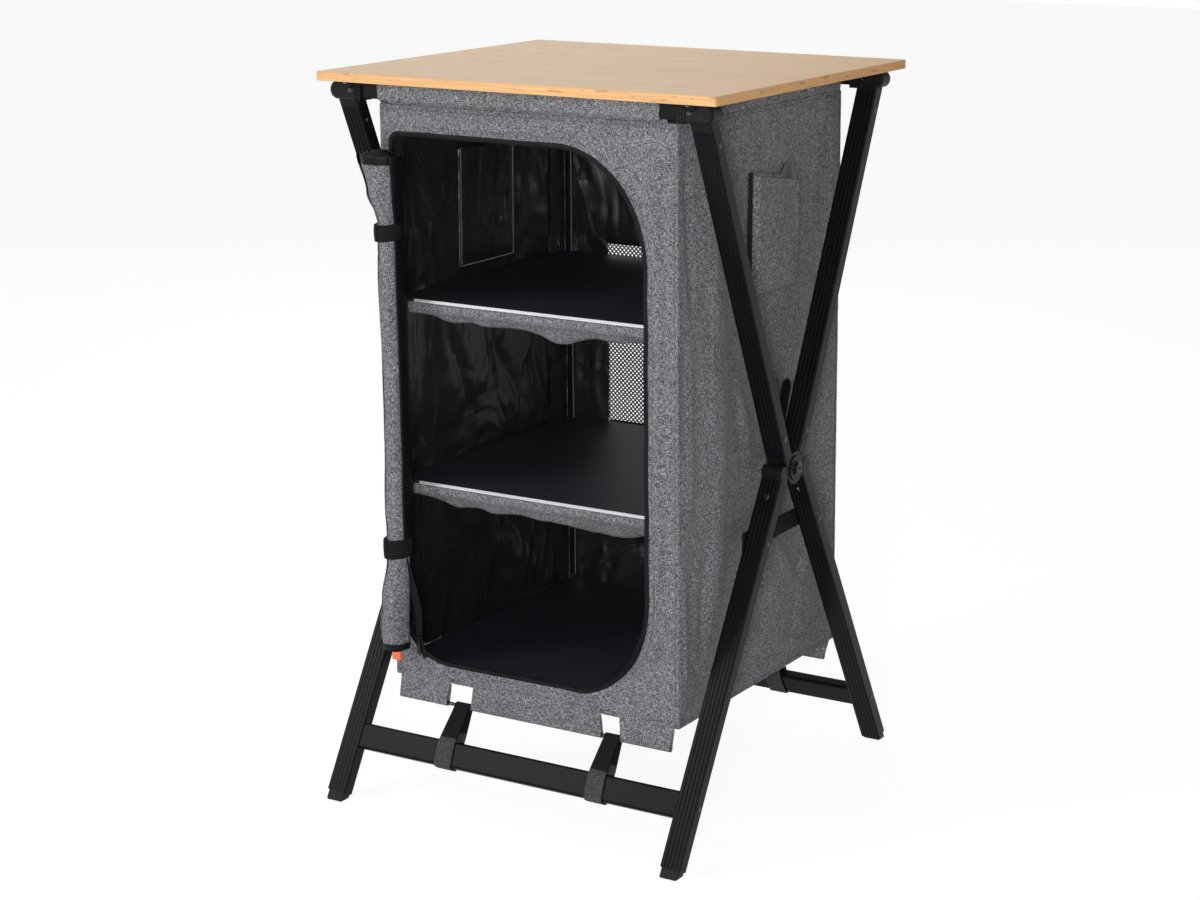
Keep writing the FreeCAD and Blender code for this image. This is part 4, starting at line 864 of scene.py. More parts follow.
@dataclass(frozen=True)
class CloseSize:
    """Places of the cloth body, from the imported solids, in metres."""

    half: float
    hem_z: float
    top_z: float
    front_hem_y: float
    front_top_y: float
    back_hem_y: float
    back_top_y: float
    cloth: float = 0.0012

    @classmethod
    def read(cls) -> "CloseSize":
        """Read the places from the front and back solids."""
        low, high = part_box("front_panel")
        back_low, back_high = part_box("back_panel")
        cloth = 0.0012
        return cls(high[0], low[2], high[2], high[1] - cloth, low[1], back_high[1], back_low[1] + cloth, cloth)

    def front_y(self, z: float) -> float:
        """Outer face of the front at a height."""
        return self.front_hem_y + (self.front_top_y - self.front_hem_y) * (z - self.hem_z) / (self.top_z - self.hem_z)

    def back_y(self, z: float) -> float:
        """Outer face of the back at a height."""
        return self.back_hem_y + (self.back_top_y - self.back_hem_y) * (z - self.hem_z) / (self.top_z - self.hem_z)


SIZE = CloseSize.read()


class SubAssembly:
    """A group of pieces that is built and dressed together."""

    def build(self) -> list[bpy.types.Object]:
        """Make the group's own meshes."""
        return []

    def dress(self) -> None:
        """Give the group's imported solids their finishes."""

    def put_on(self, finish: Finish, *nodes: str) -> None:
        """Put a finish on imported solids.

        Args:
            finish: Finish to use.
            *nodes: Names of the solids.
        """
        for name in nodes:
            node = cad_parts[name]
            node.data.materials.clear()
            node.data.materials.append(finish.material())
            LOG.info("dressed %s in %s", name, finish.name)


@dataclass
class Doorway:
    """Outline of the doorway in the front, in metres."""

    left: float = -0.208
    right: float = 0.177
    bottom: float = 0.029
    top: float = 0.754
    round_top_right: tuple[float, float] = (0.130, 0.150)
    round_bottom_right: tuple[float, float] = (0.110, 0.142)
    round_top_left: tuple[float, float] = (0.012, 0.012)
    round_bottom_left: tuple[float, float] = (0.072, 0.072)

    def outline(self, step: float = 0.0042, grow: float = 0.0) -> list[tuple[float, float]]:
        """Points round the doorway, anticlockwise from the lower left.

        Args:
            step: Distance from point to point.
            grow: Margin outwards.

        Returns:
            Places as x and height.
        """
        low, high = SIZE.hem_z + self.bottom - grow, SIZE.hem_z + self.top + grow
        left, right = self.left - grow, self.right + grow
        corners = (
            (left, low, self.round_bottom_left, 180.0),
            (right, low, self.round_bottom_right, 270.0),
            (right, high, self.round_top_right, 0.0),
            (left, high, self.round_top_left, 90.0),
        )
        arcs = []
        for x, z, (wide, tall), start in corners:
            wide, tall = wide + grow, tall + grow
            centre = (x + math.copysign(wide, -x), z + math.copysign(tall, (low + high) / 2 - z))
            count = max(3, round(wide * math.pi / 2 / step))
            angles = [math.radians(start + 90.0 * index / count) for index in range(count + 1)]
            arcs.append([(centre[0] + wide * math.cos(a), centre[1] + tall * math.sin(a)) for a in angles])
        points = []
        for arc, following in zip(arcs, arcs[1:] + arcs[:1]):
            points.extend(arc)
            (ax, az), (bx, bz) = arc[-1], following[0]
            count = max(1, round(math.hypot(bx - ax, bz - az) / step))
            points.extend((ax + (bx - ax) * i / count, az + (bz - az) * i / count) for i in range(1, count))
        return points


DOOR = Doorway()


@dataclass
class FrontCloth(SubAssembly):
    """Front cloth round the doorway, its zip and its seams."""

    rings: int = 26
    tape_width: float = 0.0046
    seam_in: float = 0.0105
    seam_half: float = 0.0022
    seam_depth: float = 0.0024
    creases: tuple[Crease, ...] = (
        Crease((0.165, 0.275), (0.075, 0.188), 0.008, 0.0064),
        Crease((0.190, 0.300), (0.125, 0.180), 0.007, -0.0056),
        Crease((0.205, 0.330), (0.165, 0.178), 0.007, 0.0058),
        Crease((0.208, 0.500), (0.200, 0.180), 0.007, -0.0054),
        Crease((0.192, 0.640), (0.198, 0.330), 0.009, 0.0050),
        Crease((0.203, 0.935), (0.208, 0.540), 0.006, -0.0050),
        Crease((0.186, 0.930), (0.196, 0.640), 0.010, 0.0034),
        Crease((0.120, 0.905), (0.200, 0.950), 0.010, 0.0032),
        Crease((-0.100, 0.930), (0.090, 0.946), 0.006, -0.0018),
        Crease((-0.020, 0.925), (0.080, 0.918), 0.006, 0.0016),
        Crease((-0.200, 0.200), (-0.150, 0.170), 0.008, 0.0030),
        Crease((-0.040, 0.183), (0.060, 0.170), 0.006, 0.0022),
        Crease((0.040, 0.186), (0.100, 0.172), 0.006, -0.0022),
    )

    def lift(self, x: float, z: float) -> float:
        """Height of the creases and swells at a place on the front."""
        edge = min(SIZE.half - abs(x), SIZE.top_z - z, z - SIZE.hem_z)
        calm = smooth(0.0, 0.014, edge)
        swell = 0.0016 * ripple(x, z, 3.3, 0.06)
        groove = -self.seam_depth * math.exp(-(((SIZE.half - abs(x) - self.seam_in) / self.seam_half) ** 2))
        return calm * (sum(crease.at(x, z) for crease in self.creases) + swell) + groove * smooth(0.0, 0.02, SIZE.top_z - z)

    def place(self, x: float, z: float) -> Vector:
        """Point of the front cloth's outer face."""
        return Vector((x, SIZE.front_y(z) - self.lift(x, z), z))

    def build(self) -> list[bpy.types.Object]:
        """Make the cloth, the zip tape with its coil, and the seams."""
        inner = DOOR.outline()
        middle = ((DOOR.left + DOOR.right) / 2, (SIZE.hem_z + SIZE.top_z) / 2)
        bm = bmesh.new()
        door_verts = [bm.verts.new((x, 0.0, z)) for x, z in inner]
        rim_verts = [bm.verts.new((x, 0.0, z)) for x, z in (self.to_rim(point, middle) for point in inner)]
        count = len(inner)
        loops = [bm.edges.new((ring[i], ring[(i + 1) % count])) for ring in (door_verts, rim_verts) for i in range(count)]
        bridged = bmesh.ops.bridge_loops(bm, edges=loops)
        spokes = [edge for edge in bm.edges if (edge.verts[0] in set(door_verts)) != (edge.verts[1] in set(door_verts))]
        LOG.info("front bridged with %d faces", len(bridged["faces"]))
        bmesh.ops.subdivide_edges(bm, edges=spokes, cuts=self.rings, use_grid_fill=True)
        for vert in bm.verts:
            vert.co = self.place(vert.co.x, vert.co.z)
        Maker.turn_out(bm, Vector((0, -1, 0)))
        cloth = Maker.finish("front_cloth", bm, [CLOTH, LINING], Body.CUPBOARD, Slot.CLOTH, ["front_panel"])
        Maker.thicken(cloth, SIZE.cloth)
        return [cloth, self.tape(), self.coil(), self.seams()]

    def to_rim(self, point: tuple[float, float], middle: tuple[float, float]) -> tuple[float, float]:
        """Place on the cloth's edge straight out from the middle through a point.

        Args:
            point: Place on the doorway.
            middle: Middle of the doorway.

        Returns:
            Place on the edge.
        """
        dx, dz = point[0] - middle[0], point[1] - middle[1]
        reach = []
        if abs(dx) > 1e-9:
            reach.append(((SIZE.half if dx > 0 else -SIZE.half) - middle[0]) / dx)
        if abs(dz) > 1e-9:
            reach.append(((SIZE.top_z if dz > 0 else SIZE.hem_z) - middle[1]) / dz)
        share = min(reach)
        return middle[0] + share * dx, middle[1] + share * dz

    def tape(self) -> bpy.types.Object:
        """Zip tape round the doorway."""
        rings = [Path([Vector((x, 0.0, z)) for x, z in DOOR.outline(grow=grow)], closed=True) for grow in (-0.0004, self.tape_width)]

        def lay(across: float, round_door: float) -> Vector:
            near, far = rings[0].at(round_door), rings[1].at(round_door)
            spot = near.lerp(far, across)
            return self.place(spot.x, spot.z) + Vector((0, -0.0005 - 0.0004 * math.sin(math.pi * across), 0))

        bm = Maker.grid(4, 620, lay, Vector((0, -1, 0)), wrap=True)
        tape = Maker.finish("door_zip_tape", bm, [ZIP], Body.CUPBOARD, Slot.ZIP, ["zip_tape"])
        Maker.thicken(tape, 0.0007, offset=1.0, inner=0)
        return tape

    def coil(self) -> bpy.types.Object:
        """Teeth of the zip along the doorway's edge."""
        points = [self.place(x, z) + Vector((0, -0.0007, 0)) for x, z in DOOR.outline(grow=-0.0006)]
        return Maker.dashes("door_zip_coil", [points + points[:1]], Body.CUPBOARD, ZIP, 0.0028, 0.0024, 0.0016,
                            Vector((0, -1, 0)), Slot.ZIP)

    def seams(self) -> bpy.types.Object:
        """Stitches beside the zip and along the front's edges."""
        off = Vector((0, -0.0002, 0))
        round_door = [self.place(x, z) + off for x, z in DOOR.outline(grow=0.0115)]
        heights = [SIZE.hem_z + 0.004 + (SIZE.top_z - SIZE.hem_z - 0.008) * i / 160 for i in range(161)]
        lines = [round_door + round_door[:1]]
        for x in (-SIZE.half + 0.0045, SIZE.half - 0.0045):
            lines.append([self.place(x, z) + off for z in heights])
        xs = [-SIZE.half + 0.004 + (2 * SIZE.half - 0.008) * i / 90 for i in range(91)]
        for z in (SIZE.hem_z + 0.006, SIZE.top_z - 0.006):
            lines.append([self.place(x, z) + off for x in xs])
        return Maker.dashes("front_stitches", lines, Body.CUPBOARD, THREAD, 0.0038, 0.0005, 0.0005, Vector((0, -1, 0)))


@dataclass
class SideCloths(SubAssembly):
    """Left and right side cloths, the loose cloth above them and the corner piping."""

    columns: int = 84
    rows: int = 150
    outer_creases: tuple[Crease, ...] = (
        Crease((-0.165, 0.950), (-0.120, 0.700), 0.028, 0.0130),
        Crease((-0.125, 0.720), (-0.130, 0.250), 0.032, 0.0135),
        Crease((-0.205, 0.930), (-0.185, 0.700), 0.008, -0.0058),
        Crease((-0.190, 0.680), (-0.195, 0.420), 0.008, 0.0058),
        Crease((-0.206, 0.420), (-0.200, 0.190), 0.008, 0.0056),
        Crease((-0.150, 0.420), (-0.160, 0.210), 0.009, -0.0056),
        Crease((0.205, 0.940), (0.190, 0.500), 0.010, 0.0066),
        Crease((0.150, 0.660), (0.175, 0.470), 0.010, -0.0062),
        Crease((0.110, 0.700), (0.205, 0.640), 0.008, -0.0050),
        Crease((0.020, 0.620), (0.120, 0.480), 0.012, 0.0066),
        Crease((-0.080, 0.640), (-0.020, 0.500), 0.011, 0.0056),
        Crease((-0.140, 0.440), (-0.020, 0.452), 0.008, 0.0026),
        Crease((0.050, 0.446), (0.180, 0.430), 0.008, 0.0028),
        Crease((0.010, 0.400), (0.140, 0.250), 0.012, 0.0064),
        Crease((0.160, 0.390), (0.100, 0.200), 0.010, -0.0058),
        Crease((-0.215, 0.190), (-0.020, 0.172), 0.007, 0.0034),
        Crease((-0.020, 0.230), (0.180, 0.180), 0.010, 0.0034),
        Crease((-0.060, 0.690), (0.060, 0.700), 0.008, 0.0026),
        Crease((-0.200, 0.270), (-0.120, 0.185), 0.009, -0.0036),
    )

    def swell(self, side: int, y: float, z: float) -> float:
        """Height of the side cloth over its flat place, outwards."""
        edge = min(y - SIZE.front_y(z), SIZE.back_y(z) - y, SIZE.top_z - z, z - SIZE.hem_z)
        calm = smooth(0.0, 0.016, edge)
        held = 0.35 + 0.65 * min(1.0, min(abs(z - level) for level in (0.185, 0.443, 0.696)) / 0.05)
        folds = sum(crease.at(y, z) for crease in self.outer_creases)
        rough = 0.0036 * ripple(y, z, 11.0 + side, 0.075) + 0.0009 * ripple(y, z, 5.0 + side, 0.022)
        near_pocket = smooth(0.11, 0.07, abs(y - 0.01)) * smooth(0.115, 0.085, abs(z - 0.79))
        lift = folds + held * (1 - 0.85 * near_pocket) * rough + 0.0004
        shelf = min(abs(z - level) for level in (0.185, 0.443, 0.696))
        return calm * (lift if lift > 0 else lift * smooth(0.0, 0.03, shelf))

    def place(self, side: int, y: float, z: float) -> Vector:
        """Point of a side cloth's outer face."""
        return Vector((side * (SIZE.half + self.swell(side, y, z)), y, z))

    def build(self) -> list[bpy.types.Object]:
        """Make both sides, their upper edges and the piping of the corners."""
        pieces = []
        for side, name in ((-1, "left"), (1, "right")):

            def lay(across: float, up: float, side: int = side) -> Vector:
                z = SIZE.hem_z + up * (SIZE.top_z - SIZE.hem_z)
                front, back = SIZE.front_y(z) + 0.0006, SIZE.back_y(z) - 0.0006
                return self.place(side, front + across * (back - front), z)

            bm = Maker.grid(self.columns, self.rows, lay, Vector((side, 0, 0)))
            cloth = Maker.finish(f"side_cloth_{name}", bm, [CLOTH, LINING], Body.CUPBOARD, Slot.CLOTH, [f"side_panel_{name}"])
            Maker.thicken(cloth, SIZE.cloth)
            pieces += [cloth, self.upper_edge(side, name)]
        pieces += [self.piping(), *self.seams()]
        return pieces

    def upper_edge(self, side: int, name: str) -> bpy.types.Object:
        """Loose crumpled cloth between a side's seam and the tabletop.

        Args:
            side: -1 for left and 1 for right.
            name: Name of the side.

        Returns:
            The sheet.
        """
        low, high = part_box("top_side_cloth")

        def lay(across: float, up: float) -> Vector:
            y = low[1] + across * (high[1] - low[1])
            z = low[2] + up * (high[2] - low[2])
            loose = math.sin(math.pi * min(1.0, up * 0.75 + 0.06))
            gather = 0.5 * math.sin(y * 260 + 3 * math.sin(y * 47)) + 0.7 * ripple(y, z, 21.0 + side, 0.03)
            return Vector((side * (high[0] - 0.0002 + loose * (0.0022 * gather + 0.0016)), y, z))

        bm = Maker.grid(150, 12, lay, Vector((side, 0, 0)))
        cloth = Maker.finish(f"upper_edge_{name}", bm, [CLOTH, LINING], Body.CUPBOARD, Slot.CLOTH, ["top_side_cloth"])
        Maker.thicken(cloth, SIZE.cloth)
        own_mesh(cloth)
        return cloth

    def piping(self) -> bpy.types.Object:
        """Rounded seams down the corners and along the hem and the top edge."""
        bm = bmesh.new()
        inset, low, high = SIZE.half - 0.0004, SIZE.hem_z + 0.001, SIZE.top_z - 0.001
        lines = []
        for x in (-inset, inset):
            for reach in (SIZE.front_y, SIZE.back_y):
                away = 0.0006 if reach(low) < 0 else -0.0006
                lines.append([Vector((x, reach(low) + away, low)), Vector((x, reach(high) + away, high))])
            for z in (low, high):
                lines.append([Vector((x, SIZE.front_y(z) + 0.002, z)), Vector((x, SIZE.back_y(z) - 0.002, z))])
        for z in (low, high):
            for y in (SIZE.front_y(z) + 0.0006, SIZE.back_y(z) - 0.0006):
                lines.append([Vector((-inset, y, z)), Vector((inset, y, z))])
        for number, (start, end) in enumerate(lines):
            path = Path([start, end])
            turn = path.along(0.5).to_track_quat("Z", "X")

            def lay(round_it: float, up: float) -> Vector:
                angle = 2 * math.pi * round_it
                thick = 0.0013 * (1.0 + 0.25 * noise.noise(Vector((up * 40, number, 0.5))))
                return path.at(up) + turn @ Vector((thick * math.cos(angle), thick * math.sin(angle), 0.0))

            rod = Maker.grid(8, 110, lay, None, wrap=True)
            bmesh.ops.holes_fill(rod, edges=[edge for edge in rod.edges if edge.is_boundary])
            bmesh.ops.recalc_face_normals(rod, faces=rod.faces)
            Maker.join(bm, rod)
        return Maker.finish("corner_piping", bm, [CLOTH], Body.CUPBOARD, Slot.CLOTH)

    def seams(self) -> list[bpy.types.Object]:
        """Stitches along the edges of both sides."""
        pieces = []
        for side, name in ((-1, "left"), (1, "right")):
            lines = []
            off = Vector((side * 0.0002, 0, 0))
            heights = [SIZE.hem_z + 0.004 + (SIZE.top_z - SIZE.hem_z - 0.008) * i / 170 for i in range(171)]
            lines.append([self.place(side, SIZE.front_y(z) + 0.0055, z) + off for z in heights])
            lines.append([self.place(side, SIZE.back_y(z) - 0.0055, z) + off for z in heights])
            for z in (SIZE.hem_z + 0.006, SIZE.top_z - 0.006):
                front, back = SIZE.front_y(z) + 0.005, SIZE.back_y(z) - 0.005
                lines.append([self.place(side, front + (back - front) * i / 90, z) + off for i in range(91)])
            facing = Vector((side, 0, 0))
            pieces.append(Maker.dashes(f"side_stitches_{name}", lines, Body.CUPBOARD, THREAD, 0.0038, 0.0005, 0.0005, facing))
        return pieces


@dataclass
class BackCloth(SubAssembly):
    """Back cloth with its net window."""

    pitch: float = 0.0068
    thread: float = 0.0019
    window: tuple[Vector, Vector] = field(default_factory=lambda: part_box("net_window"))
    creases: tuple[Crease, ...] = (
        Crease((-0.200, 0.930), (-0.120, 0.760), 0.014, 0.0050),
        Crease((-0.170, 0.900), (-0.060, 0.790), 0.010, -0.0050),
        Crease((-0.120, 0.935), (-0.020, 0.760), 0.012, 0.0052),
        Crease((-0.060, 0.920), (0.080, 0.780), 0.014, -0.0056),
        Crease((0.020, 0.930), (0.150, 0.800), 0.012, 0.0054),
        Crease((0.190, 0.900), (0.120, 0.740), 0.013, -0.0050),
        Crease((-0.100, 0.800), (0.060, 0.755), 0.010, 0.0040),
        Crease((0.195, 0.680), (0.170, 0.480), 0.012, 0.0048),
        Crease((-0.190, 0.660), (-0.170, 0.470), 0.011, -0.0044),
        Crease((-0.175, 0.640), (-0.185, 0.500), 0.008, 0.0040),
        Crease((-0.190, 0.420), (-0.060, 0.230), 0.014, 0.0046),
        Crease((-0.150, 0.400), (-0.020, 0.300), 0.012, -0.0042),
        Crease((0.030, 0.420), (0.190, 0.260), 0.013, -0.0042),
        Crease((-0.040, 0.330), (0.080, 0.220), 0.014, 0.0044),
    )

    def place(self, x: float, z: float) -> Vector:
        """Point of the back cloth's outer face."""
        low, high = self.window
        edge = min(SIZE.half - abs(x), SIZE.top_z - z, z - SIZE.hem_z)
        window = max(abs(x) - high[0], z - high[2], low[2] - z)
        calm = smooth(0.0, 0.02, edge) * smooth(0.0, 0.03, max(0.0, window))
        lift = sum(crease.at(x, z) for crease in self.creases) + 0.0022 * ripple(x, z, 31.0, 0.05)
        return Vector((x, SIZE.back_y(z) + calm * lift, z))

    def build(self) -> list[bpy.types.Object]:
        """Make the cloth with its window, the net and their seam."""
        low, high = self.window
        bm = bmesh.new()
        window = self.ring(bm, high[0], low[2], high[2], 60, 54)
        rim = self.ring(bm, SIZE.half, SIZE.hem_z, SIZE.top_z, 60, 54)
        bmesh.ops.bridge_loops(bm, edges=window + rim)
        inner = {vert for edge in window for vert in edge.verts}
        spokes = [edge for edge in bm.edges if (edge.verts[0] in inner) != (edge.verts[1] in inner)]
        bmesh.ops.subdivide_edges(bm, edges=spokes, cuts=22, use_grid_fill=True)
        for vert in bm.verts:
            vert.co = self.place(vert.co.x, vert.co.z)
        Maker.turn_out(bm, Vector((0, 1, 0)))
        cloth = Maker.finish("back_cloth", bm, [CLOTH, BACK_LINING], Body.CUPBOARD, Slot.CLOTH, ["back_panel"])
        Maker.thicken(cloth, SIZE.cloth)
        return [cloth, self.net(low, high), self.binding(low, high), *self.corner_bindings()]

    def ring(self, bm: bmesh.types.BMesh, half: float, low: float, high: float, across: int, up: int) -> list[bmesh.types.BMEdge]:
        """Edges of an upright rectangle with even points.

        Args:
            bm: Mesh to add to.
            half: Half its width.
            low: Its lower height.
            high: Its upper height.
            across: Points along a level side.
            up: Points along an upright side.

        Returns:
            The edges.
        """
        places = [(-half + 2 * half * i / across, low) for i in range(across)]
        places += [(half, low + (high - low) * i / up) for i in range(up)]
        places += [(half - 2 * half * i / across, high) for i in range(across)]
        places += [(-half, high - (high - low) * i / up) for i in range(up)]
        verts = [bm.verts.new((x, 0.0, z)) for x, z in places]
        return [bm.edges.new((vert, verts[(index + 1) % len(verts)])) for index, vert in enumerate(verts)]

    def net(self, low: Vector, high: Vector) -> bpy.types.Object:
        """Net of threads that cross on the slant in the window.

        Args:
            low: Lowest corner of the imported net.
            high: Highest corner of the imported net.

        Returns:
            The net.
        """
        bm = bmesh.new()
        wide, tall, middle = high[0], (high[2] - low[2]) / 2, (low[2] + high[2]) / 2
        count = int((wide + tall) / self.pitch)
        for lean in (-1, 1):
            for shift in (self.pitch * number for number in range(-count, count + 1)):
                lower = max(-tall, -wide - shift if lean > 0 else shift - wide)
                upper = min(tall, wide - shift if lean > 0 else shift + wide)
                if upper - lower < 2 * self.thread:
                    continue
                height = (lower + upper) / 2
                length = (upper - lower) * math.sqrt(2.0)
                matrix = Matrix.Translation((lean * height + shift, 0.0, middle + height))
                matrix @= Matrix.Rotation(lean * math.pi / 4, 4, "Y") @ Matrix.Diagonal((self.thread, self.thread / 2, length, 1.0))
                self.follow(bmesh.ops.create_cube(bm, size=1.0, matrix=matrix)["verts"])
        return Maker.finish("net", bm, [NetThread()], Body.CUPBOARD, Slot.NET, ["net_window"], shaded=False)

    def corner_bindings(self) -> list[bpy.types.Object]:
        """Bound and stitched seams inside both back corners."""
        pieces = []
        low, high = SIZE.hem_z + 0.03, SIZE.top_z - 0.012
        facing = Vector((0, -1, 0))
        for side, name in ((-1, "left"), (1, "right")):

            def lay(across: float, up: float, side: int = side) -> Vector:
                x, z = side * (SIZE.half - 0.0025 - 0.013 * across), low + up * (high - low)
                puff = 0.0012 * math.sin(math.pi * across) + 0.0004 * ripple(x, z, 97.0, 0.02)
                return self.place(x, z) + Vector((0, -SIZE.cloth - 0.0008 - puff, 0))

            tape = Maker.finish(f"corner_binding_{name}", Maker.grid(5, 150, lay, facing), [ZIP], Body.CUPBOARD, Slot.ZIP)
            Maker.thicken(tape, 0.0008, offset=-1.0, inner=0)
            line = [lay(0.8, index / 150) + Vector((0, -0.0003, 0)) for index in range(151)]
            pieces += [tape, Maker.dashes(f"corner_stitches_{name}", [line], Body.CUPBOARD, LINING_THREAD, 0.0042, 0.0008, 0.0005, facing)]
        return pieces

    def follow(self, verts: Sequence[bmesh.types.BMVert]) -> None:
        """Shift points from the upright plane to just inside the back cloth."""
        for vert in verts:
            vert.co.y += SIZE.back_y(vert.co.z) - SIZE.cloth

    def binding(self, low: Vector, high: Vector) -> bpy.types.Object:
        """Tape sewn round the window inside and outside.

        Args:
            low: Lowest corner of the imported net.
            high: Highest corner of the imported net.

        Returns:
            The tape.
        """
        middle = (low[2] + high[2]) / 2

        def lay(across: float, round_it: float) -> Vector:
            reach = 0.002 + 0.014 * across
            corners = [Vector((sx * (high[0] + reach), 0, middle + sz * ((high[2] - low[2]) / 2 + reach)))
                       for sx, sz in ((-1, -1), (1, -1), (1, 1), (-1, 1))]
            spot = Path(corners, closed=True).at(round_it)
            puff = 0.0006 * math.sin(math.pi * across)
            return Vector((spot.x, SIZE.back_y(spot.z) + 0.0004 + puff, spot.z))

        bm = Maker.grid(3, 160, lay, Vector((0, 1, 0)), wrap=True)
        tape = Maker.finish("window_binding", bm, [WEBBING], Body.CUPBOARD, Slot.WEBBING)
        Maker.thicken(tape, 0.0007, offset=1.0, inner=0)
        return tape


@dataclass
class Shelves(SubAssembly):
    """Roof, floor, the two shelf slings with their valances, and the boards."""

    upper_drop: tuple[float, float] = (0.004, 0.033)
    lower_drop: tuple[float, float] = (0.004, 0.040)
    upper_lobe: tuple[float, float, float] = (0.030, 0.032, 0.018)
    lower_lobe: tuple[float, float, float] = (0.095, 0.050, 0.013)
    lean: float = 0.68

    def build(self) -> list[bpy.types.Object]:
        """Make the level cloths and both slings."""
        return [
            self.level("roof_lining", "roof_cloth", 1),
            self.level("floor_lining", "floor_cloth", -1),
            self.sling("upper_sling", "upper_shelf_sling", self.upper_drop, self.upper_lobe, 3.0),
            self.sling("lower_sling", "lower_shelf_sling", self.lower_drop, self.lower_lobe, 9.0),
        ]

    def level(self, name: str, node: str, up: int) -> bpy.types.Object:
        """Level cloth between the walls.

        Args:
            name: Name of the piece.
            node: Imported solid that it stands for.
            up: 1 for a cloth seen from below, -1 for one seen from above.

        Returns:
            The sheet.
        """
        low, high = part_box(node)
        base = high[2] if up > 0 else low[2]

        def lay(across: float, back: float) -> Vector:
            x = low[0] + across * (high[0] - low[0])
            y = low[1] + back * (high[1] - low[1])
            calm = smooth(0.0, 0.02, min(x - low[0], high[0] - x, y - low[1], high[1] - y))
            return Vector((x, y, base + calm * 0.0004 * ripple(x, y, 41.0 + up, 0.05)))

        bm = Maker.grid(70, 70, lay, Vector((0, 0, up)))
        cloth = Maker.finish(name, bm, [CLOTH, LINING], Body.CUPBOARD, Slot.CLOTH, [node])
        Maker.thicken(cloth, 0.0010)
        return cloth

    def sling(self, name: str, node: str, drop: tuple[float, float], lobe: tuple[float, float, float],
              seed: float) -> bpy.types.Object:
        """Cloth under a board, with the folded valance that hangs down and back from its front.

        Args:
            name: Name of the piece.
            node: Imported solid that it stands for.
            drop: Length of the valance at its ends and in the middle.
            lobe: Middle, half width and extra length of its longest stretch.
            seed: Number that makes this valance differ from the other.

        Returns:
            The sheet.
        """
        low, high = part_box(node)
        half, front, bend = high[0] - 0.0004, low[1] + 0.0042, 0.004
        deck_share = 0.4

        def lay(across: float, along: float) -> Vector:
            x = -half + 2 * half * across
            if along < deck_share:
                y = high[1] - 0.0004 + (front + bend - high[1]) * (along / deck_share)
                return Vector((x, y, high[2]))
            down = (along - deck_share) / (1 - deck_share)
            inside = half - abs(x)
            full = drop[0] + (drop[1] - drop[0]) * min(1.0, inside / 0.085) ** 0.8
            full += lobe[2] * math.exp(-(((x - lobe[0]) / lobe[1]) ** 2))
            hang = (full * (1.0 + 0.09 * ripple(x, 0.0, seed, 0.045)) + bend) * down
            free = max(0.0, hang - bend * math.pi / 2)
            angle = min(math.pi / 2, hang / bend)
            slope = self.lean * smooth(0.0, 0.02, free)
            y = front + bend - bend * math.sin(angle) + free * slope
            z = high[2] - bend * (1 - math.cos(angle)) - free * math.sqrt(1 - slope * slope)
            loose = smooth(0.0, 0.035, free) * smooth(0.0, 0.05, inside)
            sway = math.sin(x * 2 * math.pi / 0.078 + 1.7 * math.sin(x * 19 + seed))
            return Vector((x, y - loose * (0.0046 * sway + 0.0030 * ripple(x, z, seed + 2, 0.03)), z))

        bm = Maker.grid(200, 44, lay, Vector((0, 0, -1)))
        cloth = Maker.finish(name, bm, [CLOTH, CLOTH], Body.CUPBOARD, Slot.CLOTH, [node])
        Maker.thicken(cloth, 0.0010, offset=1.0)
        hem = [lay(index / 180, 0.95) + Vector((0, -0.0016, -0.0006)) for index in range(6, 175)]
        Maker.dashes(f"{name}_stitches", [hem], Body.CUPBOARD, THREAD, 0.0038, 0.0006, 0.0005, Vector((0, -0.8, -0.6)))
        return cloth

    def dress(self) -> None:
        """Cover the boards."""
        self.put_on(CoveredBoard(), "upper_shelf_board", "lower_shelf_board", "floor_board")
        self.put_on(SilverEdge(), "board_edge_strips")


